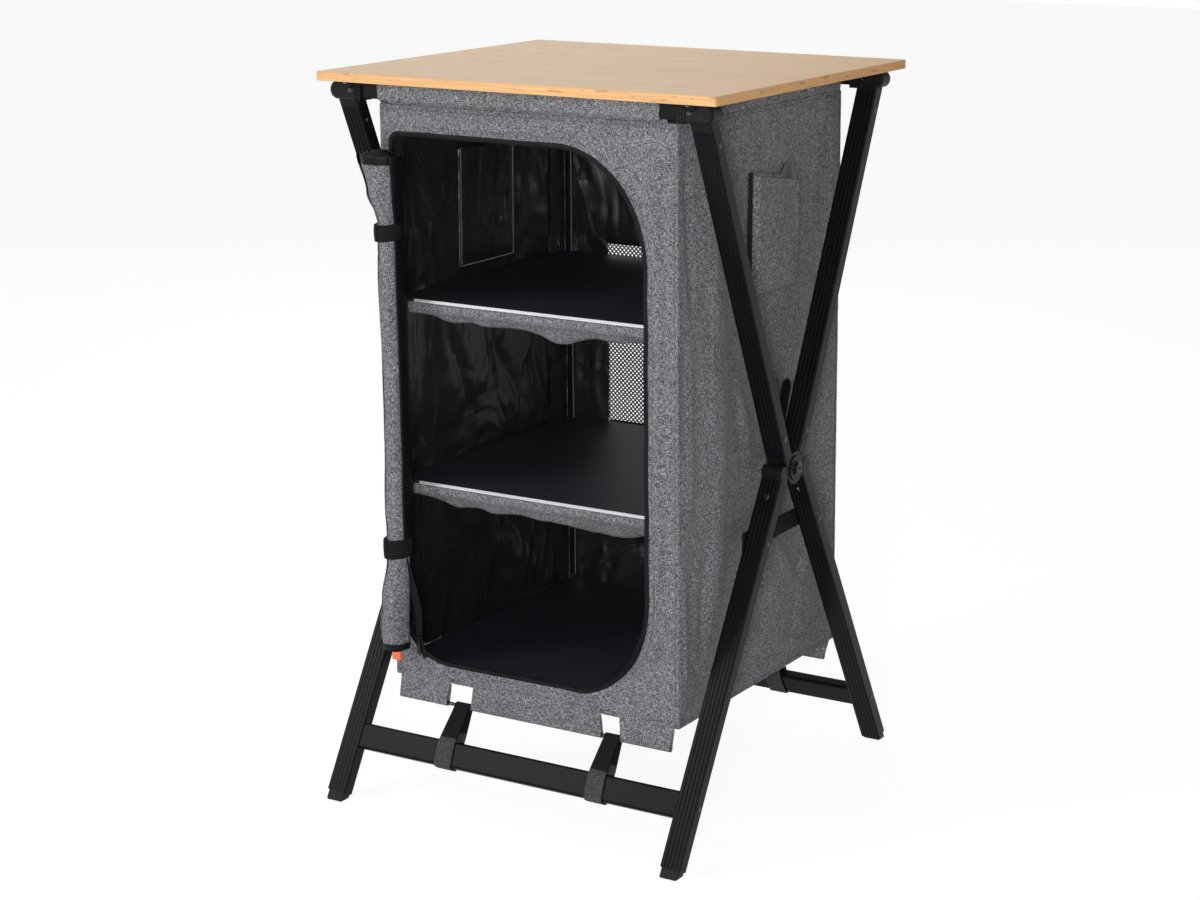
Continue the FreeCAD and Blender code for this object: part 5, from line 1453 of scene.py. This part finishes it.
@dataclass
class RolledDoor(SubAssembly):
    """Door cloth rolled up beside the doorway, its two ties, the loose zip end and the slider."""

    stations: tuple[tuple[float, float, float, float, float], ...] = (
        (0.048, -0.2083, 0.0192, 1.02, 1.00),
        (0.075, -0.2088, 0.0196, 1.02, 1.00),
        (0.120, -0.2065, 0.0188, 1.00, 1.02),
        (0.175, -0.2022, 0.0158, 0.97, 1.04),
        (0.208, -0.2018, 0.0156, 0.97, 1.04),
        (0.250, -0.2012, 0.0170, 0.95, 1.05),
        (0.330, -0.2002, 0.0163, 0.95, 1.05),
        (0.450, -0.2006, 0.0159, 0.95, 1.05),
        (0.560, -0.2016, 0.0168, 0.95, 1.05),
        (0.612, -0.2026, 0.0150, 0.97, 1.04),
        (0.643, -0.2026, 0.0150, 0.97, 1.04),
        (0.680, -0.2058, 0.0208, 1.06, 0.94),
        (0.731, -0.2082, 0.0258, 1.10, 0.88),
    )
    ties: tuple[float, float] = (0.193, 0.628)
    turns: float = 4.0
    core: float = 0.34
    off_cloth: float = 0.0026
    step: float = 1.14
    columns: int = 176
    rows: int = 150

    def centre(self, height: float) -> tuple[Vector, float, float]:
        """Middle and both half sizes of the roll at a height above the hem.

        Args:
            height: Height in metres.

        Returns:
            The middle, the half size across and the half size outwards.
        """
        x, radius, wide, deep = blend_stations(self.stations, height)
        z = SIZE.hem_z + height
        y = SIZE.front_y(z) - self.off_cloth - radius * self.step
        return Vector((x, y, z)), radius * wide, radius * deep

    def place(self, round_it: float, up: float) -> Vector:
        """Point of the rolled cloth.

        Args:
            round_it: Share of the way from the core to the free edge.
            up: Share of the height.

        Returns:
            The point.
        """
        first, last = self.stations[0][0], self.stations[-1][0]
        height = first + up * (last - first)
        height += 0.004 * (up - 0.5) * (1 - round_it) * 3
        middle, wide, deep = self.centre(height)
        angle = math.radians(205.0) - 2 * math.pi * self.turns * (1 - round_it)
        outer = round_it ** 0.8
        spiral = self.core + (1.04 - self.core) * outer
        tied = min(1.0, min(abs(height - tie) for tie in self.ties) / 0.05)
        pinch = (1 - tied) * 0.035 * math.sin(9 * angle + 2.0 * math.sin(2 * angle))
        ridge = noise.noise(Vector((2.1 * math.cos(angle), 2.1 * math.sin(angle), height * 7 + round_it * 2)))
        fine = noise.noise(Vector((4.2 * math.cos(angle), 4.2 * math.sin(angle), height * 26 + round_it * 3)))
        swell = 1 + outer * (0.075 * tied * ridge + 0.03 * fine + pinch)
        spin = angle + 0.35 * (1 - round_it)
        return middle + Vector((wide * spiral * swell * math.cos(spin), deep * spiral * swell * math.sin(spin), 0.0))

    def build(self) -> list[bpy.types.Object]:
        """Make the roll, its ties and the loose end of the zip."""
        bm = Maker.grid(self.columns, self.rows, self.place, Vector((0, 0, 0)))
        outer = [face for face in bm.faces if face.calc_center_median().y < -0.262]
        facing = sum(face.normal.y * face.calc_area() for face in outer)
        if facing > 0:
            bmesh.ops.reverse_faces(bm, faces=bm.faces)
        low = SIZE.hem_z + self.stations[0][0]
        high = SIZE.hem_z + self.stations[-1][0]
        Maker.paint(bm, 2, lambda spot: spot.z < low + 0.010 or spot.z > high - 0.013)
        roll = Maker.finish("door_roll", bm, [CLOTH, LINING, ZIP, ZIP], Body.CUPBOARD, Slot.CLOTH, ["rolled_door"])
        Maker.thicken(roll, 0.0011)
        ties = [self.tie("door_tie_lower", self.ties[0], 0.026), self.tie("door_tie_upper", self.ties[1], 0.022)]
        return [roll, *ties, self.edge_tape(), self.loose_end()]

    def edge_tape(self) -> bpy.types.Object:
        """Zip tape of the door's own edge, which stands up along the right of the roll."""
        first, last = self.ties[0] - 0.012, self.stations[-1][0] - 0.001

        def lay(across: float, up: float) -> Vector:
            height = first + up * (last - first)
            middle, wide, deep = self.centre(height)
            angle = math.radians(-30.0 + 62.0 * across)
            tied = min(1.0, min(abs(height - tie) for tie in self.ties) / 0.03)
            lift = 0.0012 + tied * smooth(0.3, 1.0, across) * (0.0022 + 0.0014 * ripple(height, 0.0, 17.0, 0.06))
            return middle + Vector(((wide * 1.09 + lift) * math.cos(angle), (deep * 1.09 + lift) * math.sin(angle), 0.0))

        tape = Maker.finish("roll_edge_tape", Maker.grid(10, 170, lay, Vector((1, -1, 0))), [ZIP], Body.CUPBOARD, Slot.ZIP)
        Maker.thicken(tape, 0.0009, offset=0.0, inner=0)
        return tape

    def tie(self, name: str, height: float, width: float) -> bpy.types.Object:
        """Band round the roll, with its overlap.

        Args:
            name: Name of the piece.
            height: Height above the hem.
            width: Width of the band.

        Returns:
            The band.
        """
        middle, wide, deep = self.centre(height)

        def lay(round_it: float, up: float) -> Vector:
            angle = 2 * math.pi * round_it * 1.12 - 2.6
            lap = 0.0011 * smooth(0.88, 0.93, round_it)
            bow = 0.0006 * math.sin(math.pi * up) + 0.0004 * math.sin(3 * angle + up * 2)
            reach = 0.0012 + lap + bow
            x = (wide * 1.085 + reach) * math.cos(angle)
            y = (deep * 1.085 + reach) * math.sin(angle)
            slant = 0.002 * math.sin(angle + 0.6)
            return middle + Vector((x, y, (up - 0.5) * width + slant))

        bm = Maker.grid(110, 8, lay, Vector((0, 0, 0)))
        if sum(f.normal.dot(f.calc_center_median() - middle) for f in bm.faces) < 0:
            bmesh.ops.reverse_faces(bm, faces=bm.faces)
        tie = Maker.finish(name, bm, [WEBBING], Body.CUPBOARD, Slot.WEBBING, ["door_ties"])
        Maker.thicken(tie, 0.0011, offset=1.0, inner=0)
        return tie

    def loose_end(self) -> bpy.types.Object:
        """Zip tape that swings from the foot of the roll to the slider."""
        low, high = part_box("zip_slider")
        slider = (low + high) / 2
        spots = (
            (-0.1945, 0.352, 0.0235), (-0.1890, 0.326, 0.0195), (-0.1838, 0.296, 0.0140), (-0.1812, 0.268, 0.0090),
            (-0.1818, 0.246, 0.0056), (slider.x, slider.z - 0.002, 0.0045), (-0.1800, 0.211, 0.0030), (-0.1742, 0.196, 0.0014),
        )
        path = Path([Vector((x, SIZE.front_y(z) - off, z)) for x, z, off in spots])

        def lay(across: float, along: float) -> Vector:
            side = path.along(along).cross(Vector((0, 1, 0))).normalized()
            curl = 0.0045 * math.sin(math.pi * along) * (across - 0.5)
            width = 0.0115 - 0.0035 * smooth(0.5, 1.0, along)
            return path.at(along) + side * (across - 0.5) * width + Vector((0, curl - 0.0008, 0))

        bm = Maker.grid(5, 60, lay, Vector((0, -1, 0)))
        tape = Maker.finish("zip_loose_end", bm, [ZIP], Body.CUPBOARD, Slot.ZIP)
        Maker.thicken(tape, 0.0010, offset=0.0, inner=0)
        return tape

    def dress(self) -> None:
        """Plate the slider and its pull."""
        self.put_on(PlatedSteel("zip_metal", (0.05, 0.05, 0.053)), "zip_slider", "zip_pull")


@dataclass
class TopSleeves(SubAssembly):
    """Gathered cloth sleeves round both top bars."""

    def build(self) -> list[bpy.types.Object]:
        """Make both sleeves."""
        return [self.sleeve("front", Body.OUTER, -1), self.sleeve("rear", Body.INNER, 1)]

    def sleeve(self, where: str, body: Body, side: int) -> bpy.types.Object:
        """Sleeve with the tail that a wall hangs from.

        Args:
            where: front or rear.
            body: Body of the bar.
            side: -1 for front and 1 for rear.

        Returns:
            The sheet.
        """
        low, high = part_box(f"{where}_top_sleeve")
        bar_low, bar_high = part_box(f"{where}_top_bar")
        bar_y, bar_z = (bar_low[1] + bar_high[1]) / 2, (bar_low[2] + bar_high[2]) / 2
        reach = bar_high[2] - bar_z + 0.0015
        tail_y = bar_y - side * (reach - 0.0004)
        round_bar = [Vector((0, bar_y + side * reach * math.cos(a), bar_z + reach * math.sin(a)))
                     for a in (math.radians(-90 + 270 * i / 30) for i in range(31))]
        boxed = [self.boxed(point, bar_y, bar_z, reach) for point in round_bar]
        tail = [Vector((0, tail_y, bar_z - reach * 0.5)), Vector((0, tail_y, low[2]))]
        profile = Path([Vector((0, tail_y + side * 0.0016, low[2] + 0.001)),
                        Vector((0, tail_y + side * 0.0018, bar_z - reach - 0.0012))] + boxed + tail)

        def lay(along: float, round_it: float) -> Vector:
            x = low[0] + along * (high[0] - low[0])
            spot = profile.at(round_it)
            away = Vector((0, spot.y - bar_y, spot.z - bar_z)).normalized()
            under = smooth(0.35, 0.9, math.sin(math.pi * round_it)) if away.z > 0.75 else 1.0
            gather = math.sin(x * 190 + 2.2 * math.sin(x * 33)) + 1.1 * ripple(x, round_it * 0.09, 51.0 + side, 0.016)
            ends = 0.4 + 0.6 * smooth(0.0, 0.02, min(x - low[0], high[0] - x))
            puff = ends * (0.0016 * gather + 0.0014) * smooth(0.0, 0.1, min(round_it, 1 - round_it))
            return Vector((x, spot.y, spot.z)) + away * puff * (0.15 if away.z > 0.75 else under)

        bm = Maker.grid(260, 56, lay, Vector((0, 0, 0)))
        if sum(f.normal.dot(f.calc_center_median() - Vector((f.calc_center_median().x, bar_y, bar_z))) for f in bm.faces) < 0:
            bmesh.ops.reverse_faces(bm, faces=bm.faces)
        cloth = Maker.finish(f"{where}_sleeve", bm, [CLOTH], body, Slot.CLOTH, [f"{where}_top_sleeve"])
        Maker.thicken(cloth, 0.0010, inner=0)
        return cloth

    @staticmethod
    def boxed(point: Vector, bar_y: float, bar_z: float, reach: float) -> Vector:
        """Press a point of a circle out to a rounded square.

        Args:
            point: Point on the circle.
            bar_y: y of the bar's middle.
            bar_z: z of the bar's middle.
            reach: Radius of the circle.

        Returns:
            The point on the square.
        """
        y, z = (point.y - bar_y) / reach, (point.z - bar_z) / reach
        push = (abs(y) ** 5 + abs(z) ** 5) ** (-1 / 5)
        return Vector((0, bar_y + y * push * reach, bar_z + z * push * reach))


@dataclass
class HemTunnels(SubAssembly):
    """Tunnels under the front and rear hems."""

    tunnels: tuple[tuple[float, float, float, float], ...] = (
        (-0.221, -0.142, -0.217, -0.134),
        (-0.103, 0.106, -0.097, 0.106),
        (0.136, 0.212, 0.136, 0.219),
    )

    def build(self) -> list[bpy.types.Object]:
        """Make three tunnels on each side."""
        pieces = []
        for side, where in ((-1, "front"), (1, "rear")):
            for number, corners in enumerate(self.tunnels):
                pieces.append(self.tunnel(f"{where}_tunnel_{number + 1}", where, side, corners))
        return pieces

    def tunnel(self, name: str, where: str, side: int, corners: tuple[float, float, float, float]) -> bpy.types.Object:
        """Cloth loop from the hem round the rod.

        Args:
            name: Name of the piece.
            where: front or rear.
            side: -1 for front and 1 for rear.
            corners: x of the lower two and the upper two corners.

        Returns:
            The sheet.
        """
        low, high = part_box(f"{where}_hem_tunnels")
        rod_low, rod_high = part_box("hem_rods")
        rod_z = (rod_low[2] + rod_high[2]) / 2
        outer_y = low[1] if side < 0 else high[1]
        reach = 0.0040
        rod_y = outer_y - side * (reach + 0.0004)
        round_rod = [Vector((0, rod_y + side * reach * math.cos(a), rod_z + reach * math.sin(a)))
                     for a in (math.radians(-180 * i / 14) for i in range(15))]
        profile = Path([Vector((0, outer_y, high[2])), Vector((0, outer_y, SIZE.hem_z + 0.001))] + round_rod
                       + [Vector((0, outer_y - side * 0.0028, SIZE.hem_z - 0.002))])

        def lay(along: float, round_it: float) -> Vector:
            spot = profile.at(round_it)
            share = smooth(0, 1, (spot.z - low[2]) / (high[2] - low[2]))
            left = corners[0] + (corners[2] - corners[0]) * share
            right = corners[1] + (corners[3] - corners[1]) * share
            x = left + (right - left) * along
            free = math.sin(math.pi * min(1.0, max(0.0, (high[2] - spot.z) / (high[2] - low[2]))))
            bulge = 0.0022 * ripple(x, spot.z, 61.0 + side, 0.026) + 0.0012 * math.sin(x * 170 + 2 * math.sin(x * 41)) + 0.0006
            return Vector((x, spot.y + side * bulge * free * (1 if round_it < 0.5 else -0.4), spot.z))

        bm = Maker.grid(max(20, round((corners[1] - corners[0]) / 0.003)), 40, lay, Vector((0, side, 0)))
        front = [f for f in bm.faces if f.calc_center_median().z > SIZE.hem_z]
        if sum(f.normal.y * side for f in front) < 0:
            bmesh.ops.reverse_faces(bm, faces=bm.faces)
        cloth = Maker.finish(name, bm, [CLOTH], Body.CUPBOARD, Slot.CLOTH, [f"{where}_hem_tunnels"])
        Maker.thicken(cloth, 0.0010, inner=0)
        return cloth


@dataclass
class Pockets(SubAssembly):
    """Pocket on the right side, pocket inside the left wall, and the bright tab."""

    def build(self) -> list[bpy.types.Object]:
        """Make both pockets, the strips beside the outer one and the tab."""
        return [self.outer(), *self.outer_strips(), self.inner(), self.tab()]

    def outer(self) -> bpy.types.Object:
        """Bellied pocket with a slanting mouth."""
        low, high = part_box("side_pocket")
        deep = high[0] - low[0] - 0.0006

        def lay(across: float, up: float) -> Vector:
            y = low[1] + across * (high[1] - low[1])
            top = high[2] - 0.020 * across
            z = low[2] + up * (top - low[2])
            edge = min(y - low[1], high[1] - y, (z - low[2]) * 0.9)
            belly = smooth(0.0, 0.011, edge) * (0.5 + 0.5 * math.sin(math.pi * (0.18 + 0.50 * up)))
            crumple = 0.0018 * ripple(y, z, 71.0, 0.035) * smooth(0.0, 0.015, edge)
            return Vector((low[0] + 0.0012 + max(0.0, deep * 0.86 * belly + crumple), y, z))

        bm = Maker.grid(52, 60, lay, Vector((1, 0, 0)))
        pocket = Maker.finish("outer_pocket", bm, [CLOTH, LINING], Body.CUPBOARD, Slot.CLOTH, ["side_pocket"])
        Maker.thicken(pocket, 0.0010)
        corners = ((0.985, 1.0), (0.985, 0.02), (0.015, 0.02), (0.015, 1.0))
        line = Path([Vector((across, up, 0)) for across, up in corners])
        seam = [lay(*line.at(index / 150).xy) + Vector((0.0004, 0, 0)) for index in range(151)]
        Maker.dashes("pocket_stitches", [seam], Body.CUPBOARD, THREAD, 0.0038, 0.0007, 0.0005, Vector((1, 0, 0)))
        return pocket

    def outer_strips(self) -> list[bpy.types.Object]:
        """Binding strip at the pocket's front edge, and a black sheet in its mouth: partly the pocket's dark coated
        inside, partly painted shade of the opening.
        """
        low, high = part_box("side_pocket")
        deep, wide = high[0] - low[0], high[1] - low[1]

        def strip(across: float, up: float) -> Vector:
            y, z = low[1] - 0.0095 + across * 0.0105, low[2] - 0.004 + up * (high[2] - low[2] + 0.008)
            return Vector((SIZE.half + 0.0022 + 0.0004 * ripple(y, z, 81.0, 0.03), y, z))

        # Black sheet inside the pocket's mouth: partly the pocket's dark coated inside, partly painted shade where the
        # opening lies in shadow.
        def mouth_lining_and_shade(across: float, up: float) -> Vector:
            y = low[1] + 0.002 + across * (wide - 0.004)
            mouth = high[2] - 0.020 * across
            point = 0.0045 + 0.0165 * smooth(0.58, 0.70, across) * (1 - smooth(0.86, 1.0, across))
            z = mouth - 0.030 + up * (0.030 + point)
            return Vector((low[0] + 0.0022 + deep * 0.30 * math.sin(math.pi * across) * (1 - 0.55 * up), y, z))

        pieces = []
        for name, lay, finish, columns in (("pocket_strip", strip, WEBBING, 6), ("pocket_lining_and_mouth_shade", mouth_lining_and_shade, LINING, 40)):
            piece = Maker.finish(name, Maker.grid(columns, 40, lay, Vector((1, 0, 0))), [finish], Body.CUPBOARD, Slot.WEBBING)
            Maker.thicken(piece, 0.0009, offset=0.0, inner=0)
            pieces.append(piece)
        return pieces

    def inner(self) -> bpy.types.Object:
        """Flat pocket on the inside of the left wall."""
        low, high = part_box("inner_pocket")
        deep = high[0] - low[0]

        def lay(across: float, up: float) -> Vector:
            y, z = low[1] + across * (high[1] - low[1]), low[2] + up * (high[2] - low[2])
            edge = min(y - low[1], high[1] - y, z - low[2])
            belly = smooth(0.0, 0.02, edge) * (0.35 + 0.65 * up)
            return Vector((low[0] + 0.0012 + 0.78 * deep * belly + 0.0005 * ripple(y, z, 91.0, 0.03) * belly, y, z))

        bm = Maker.grid(40, 46, lay, Vector((1, 0, 0)))
        pocket = Maker.finish("inner_wall_pocket", bm, [LINING, LINING], Body.CUPBOARD, Slot.CLOTH, ["inner_pocket"])
        Maker.thicken(pocket, 0.0010, inner=0)
        rim = [Vector((low[0] + 0.0024, y, z)) for y, z in (
            (low[1] + 0.004, high[2]), (low[1] + 0.004, low[2] + 0.004), (high[1] - 0.004, low[2] + 0.004), (high[1] - 0.004, high[2]))]
        Maker.dashes("inner_pocket_stitches", [rim], Body.CUPBOARD, LINING_THREAD, 0.0042, 0.0011, 0.0006, Vector((1, 0, 0)))
        return pocket

    def tab(self) -> bpy.types.Object:
        """Plain bright tab folded over the left edge."""
        low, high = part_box("side_tab")

        def lay(along: float, up: float) -> Vector:
            z = low[2] + up * (high[2] - low[2])
            turn = along * 2 - 1
            x = high[0] - (high[0] - low[0]) * (1 - abs(turn) ** 3)
            front = SIZE.front_y(z)
            y = front - 0.0008 + (0.0032 if turn > 0 else 0.0) * min(1.0, turn * 3) * (1 if turn > 0 else 0)
            return Vector((min(x, high[0]) if turn < 0 else min(x, -SIZE.half - 0.0005), y - 0.0003 * math.sin(math.pi * up), z))

        bm = Maker.grid(40, 10, lay, Vector((0, -1, 0)))
        tab = Maker.finish("bright_tab", bm, [TabCloth()], Body.CUPBOARD, Slot.TAB, ["side_tab"])
        Maker.thicken(tab, 0.0007, offset=0.0, inner=0)
        return tab


@dataclass
class Straps(SubAssembly):
    """Webbing from the hem rods to the bottom bars, and between the lower legs."""

    places: tuple[float, float] = (-0.1185, 0.121)
    width: float = 0.026
    thickness: float = 0.0014
    slant: float = 0.009

    def build(self) -> list[bpy.types.Object]:
        """Make four bottom straps and two spreader straps."""
        pieces = []
        for side, where, body in ((-1, "front", Body.INNER), (1, "rear", Body.OUTER)):
            for x, hand in zip(self.places, ("left", "right")):
                pieces.append(self.bottom(f"{where}_strap_{hand}", where, side, body, x))
        for side, hand in ((-1, "left"), (1, "right")):
            pieces += self.spreader(side, hand)
        return pieces

    def bottom(self, name: str, where: str, side: int, body: Body, x: float) -> bpy.types.Object:
        """Loop from the hem rod round a bottom bar.

        Args:
            name: Name of the piece.
            where: front or rear.
            side: -1 for front and 1 for rear.
            body: Body of the bar; not used.
            x: Middle of the strap.

        Returns:
            The strap.
        """
        bar = [(v.co.y, v.co.z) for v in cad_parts[f"{where}_bottom_bar"].data.vertices]
        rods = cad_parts["hem_rods"].data.vertices
        rod = [(v.co.y, v.co.z) for v in rods if v.co.y * side > 0]
        gap = 0.0004
        path = Maker.belt(bar + rod, gap + self.thickness)
        top = max(z for _, z in rod)
        foot = min(z for _, z in bar)

        def lay(across: float, round_it: float) -> Vector:
            spot = path.at(round_it)
            up = (spot.z - foot) / (top - foot)
            narrow = 1.0 - 0.10 * smooth(0.45, 1.0, up)
            return Vector((x + 0.0025 * up + self.slant * (1 - up) + (across - 0.5) * self.width * narrow, spot.y, spot.z))

        bm = Maker.grid(8, 120, lay, None, wrap=True)
        Maker.paint(bm, 1, lambda spot: spot.z < foot + 0.040)
        lower = HeatherCloth("strap_heather", (0.022, 0.022, 0.024), (0.052, 0.052, 0.056), (0.10, 0.10, 0.106))
        strap = Maker.finish(name, bm, [WEBBING, lower], None, Slot.WEBBING, [f"{where}_bottom_straps"])
        Maker.thicken(strap, self.thickness, offset=0.0, inner=0)
        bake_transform(strap)
        return strap

    def spreader(self, side: int, hand: str) -> list[bpy.types.Object]:
        """Webbing between the lower legs of one side, in two halves, one from the middle towards each leg.

        Args:
            side: -1 for left and 1 for right.
            hand: Name of the side.

        Returns:
            Both halves.
        """
        low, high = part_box("spreader_straps")
        halves = []
        for end, where, body in ((-1, "front", Body.INNER), (1, "rear", Body.OUTER)):
            reach = high[1]

            def lay(across: float, along: float, end: int = end) -> Vector:
                y = end * reach * along
                sag = 0.0012 * math.sin(math.pi * min(1.0, along * 1.05)) * math.sin((across - 0.5) * 2.6)
                z = low[2] + across * (high[2] - low[2]) - 0.0015 * math.cos(math.pi / 2 * along)
                return Vector((side * (high[0] - self.thickness / 2 - 0.0006 - abs(sag)), y, z))

            bm = Maker.grid(8, 30, lay, Vector((side, 0, 0)))
            strap = Maker.finish(f"spreader_{hand}_{where}", bm, [WEBBING], None, Slot.WEBBING, ["spreader_straps"])
            Maker.thicken(strap, self.thickness, offset=0.0, inner=0)
            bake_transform(strap)
            halves.append(strap)
        return halves


@dataclass
class LegFrame(SubAssembly):
    """Crossed legs with their hubs, bars, brackets, feet and fasteners."""

    def dress(self) -> None:
        """Finish every hard part of the frame."""
        hands = ("left", "right")
        legs = [f"{end}_{part}_leg_{hand}" for end in ("front", "rear") for part in ("upper", "lower") for hand in hands]
        bars = [f"{end}_{part}_bar" for end in ("front", "rear") for part in ("top", "bottom")]
        self.put_on(SatinAluminium(), *legs, *bars)
        hubs = [f"{ring}_hub_{hand}" for ring in ("outer", "inner") for hand in hands]
        brackets = [f"{end}_top_bracket_{hand}" for end in ("front", "rear") for hand in hands]
        self.put_on(MouldedPlastic(), *hubs, *brackets, "front_feet", "rear_feet")
        self.put_on(PlatedSteel("dark_steel", (0.035, 0.035, 0.038)), "lock_plate_left", "lock_plate_right", "pivot_bolts")
        self.put_on(PlatedSteel("rivet_steel", (0.06, 0.06, 0.064)), "outer_frame_rivets", "inner_frame_rivets", "hem_rods")


@dataclass
class WoodenTop(SubAssembly):
    """Wooden tabletop with its metal lips."""

    def dress(self) -> None:
        """Varnish the top and finish its fasteners."""
        self.put_on(VarnishedWood(), "tabletop")
        self.put_on(SatinAluminium(), "tabletop_lips")
        self.put_on(PlatedSteel("bright_steel", (0.4, 0.4, 0.41)), "tabletop_screws")


@dataclass
class Studio:
    """Floor, lights, sky and camera of the picture."""

    target: tuple[float, float, float] = (-0.01626, -0.01304, 0.4688)
    azimuth: float = 31.123
    elevation: float = 13.919
    distance: float = 3.6574
    lens: float = 78.92
    lamps: tuple[tuple[str, tuple[float, float, float], float, float], ...] = (
        ("key", (-2.3, -2.9, 2.6), 1.4, 52.0),
        ("low", (-2.1, -3.5, 0.9), 0.8, 13.0),
        ("fill", (1.75, -3.35, 1.25), 0.55, 80.0),
        ("top", (0.2, 0.2, 3.4), 2.6, 14.0),
        ("back", (-2.2, 3.0, 2.2), 2.4, 24.0),
    )
    sky_light: float = 0.15
    floor_glow: float = 1.1
    floor_share: float = 0.84

    def build(self) -> None:
        """Make the floor, the lights, the sky and the camera."""
        self.floor()
        for name, place, size, power in self.lamps:
            lamp = bpy.data.lights.new(name, "AREA")
            lamp.shape, lamp.size, lamp.energy = "DISK", size, power
            light = bpy.data.objects.new(name, lamp)
            light.location = place
            light.rotation_euler = (Vector((0, 0, 0.5)) - Vector(place)).to_track_quat("-Z", "Y").to_euler()
            bpy.context.scene.collection.objects.link(light)
        self.sky()
        self.camera()

    def floor(self) -> None:
        """White floor that keeps a faint shadow."""
        bm = bmesh.new()
        bmesh.ops.create_grid(bm, x_segments=1, y_segments=1, size=14.0)
        mesh = bpy.data.meshes.new("floor")
        bm.to_mesh(mesh)
        bm.free()
        floor = bpy.data.objects.new("floor", mesh)
        floor.location.z = -0.0003
        bpy.context.scene.collection.objects.link(floor)
        w = Wiring("studio_floor")
        w.shader.inputs["Base Color"].default_value = (0.9, 0.9, 0.9, 1.0)
        w.shader.inputs["Roughness"].default_value = 1.0
        w.shader.inputs["Specular IOR Level"].default_value = 0.0
        glow = w.add("ShaderNodeEmission", Color=(1.0, 1.0, 1.0, 1.0), Strength=self.floor_glow)
        share = w.maths("MULTIPLY", w.seen(), self.floor_share)
        mixed = w.add("ShaderNodeMixShader", Fac=share)
        w.tree.links.new(w.shader.outputs[0], mixed.inputs[1])
        w.tree.links.new(glow.outputs[0], mixed.inputs[2])
        w.tree.links.new(mixed.outputs[0], w.tree.nodes["Material Output"].inputs["Surface"])
        mesh.materials.append(w.material)

    def sky(self) -> None:
        """Soft light all round that the camera sees as white."""
        world = bpy.data.worlds.new("studio")
        world.use_nodes = True
        bpy.context.scene.world = world
        tree = world.node_tree
        white = (1.0, 1.0, 1.0, 1.0)
        path, mixed = tree.nodes.new("ShaderNodeLightPath"), tree.nodes.new("ShaderNodeMixShader")
        mirrored, seen = tree.nodes.new("ShaderNodeMath"), tree.nodes.new("ShaderNodeMath")
        mirrored.operation = seen.operation = "MAXIMUM"
        tree.links.new(path.outputs["Is Glossy Ray"], mirrored.inputs[0])
        tree.links.new(path.outputs["Is Transmission Ray"], mirrored.inputs[1])
        tree.links.new(path.outputs["Is Camera Ray"], seen.inputs[0])
        tree.links.new(mirrored.outputs[0], seen.inputs[1])
        tree.links.new(seen.outputs[0], mixed.inputs[0])
        for number, (node, strength) in enumerate((
            (tree.nodes["Background"], self.sky_light), (tree.nodes.new("ShaderNodeBackground"), 1.0),
        )):
            node.inputs["Color"].default_value = white
            node.inputs["Strength"].default_value = strength
            tree.links.new(node.outputs[0], mixed.inputs[number + 1])
        tree.links.new(mixed.outputs[0], tree.nodes["World Output"].inputs["Surface"])

    def camera(self) -> None:
        """Camera at the photo's angle."""
        turn, rise = math.radians(self.azimuth), math.radians(self.elevation)
        back = Vector((math.sin(turn) * math.cos(rise), -math.cos(turn) * math.cos(rise), math.sin(rise)))
        data = bpy.data.cameras.new("camera")
        data.lens, data.sensor_width = self.lens, 36.0
        camera = bpy.data.objects.new("camera", data)
        camera.location = Vector(self.target) + back * self.distance
        camera.rotation_euler = (-back).to_track_quat("-Z", "Y").to_euler()
        bpy.context.scene.collection.objects.link(camera)
        bpy.context.scene.camera = camera
        bpy.context.scene.view_settings.view_transform = "Standard"


def main() -> None:
    """Build every sub-assembly in order, then the studio."""
    logging.basicConfig(level=logging.INFO, format="%(name)s: %(message)s")
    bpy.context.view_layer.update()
    parts: list[SubAssembly] = [
        LegFrame(), WoodenTop(), FrontCloth(), SideCloths(), BackCloth(), Shelves(),
        RolledDoor(), TopSleeves(), HemTunnels(), Pockets(), Straps(),
    ]
    for part in parts:
        made = part.build()
        part.dress()
        LOG.info("%s: %d pieces of its own", type(part).__name__, len(made))
    Studio().build()
    bpy.context.view_layer.update()


if __name__ == "__main__":
    main()
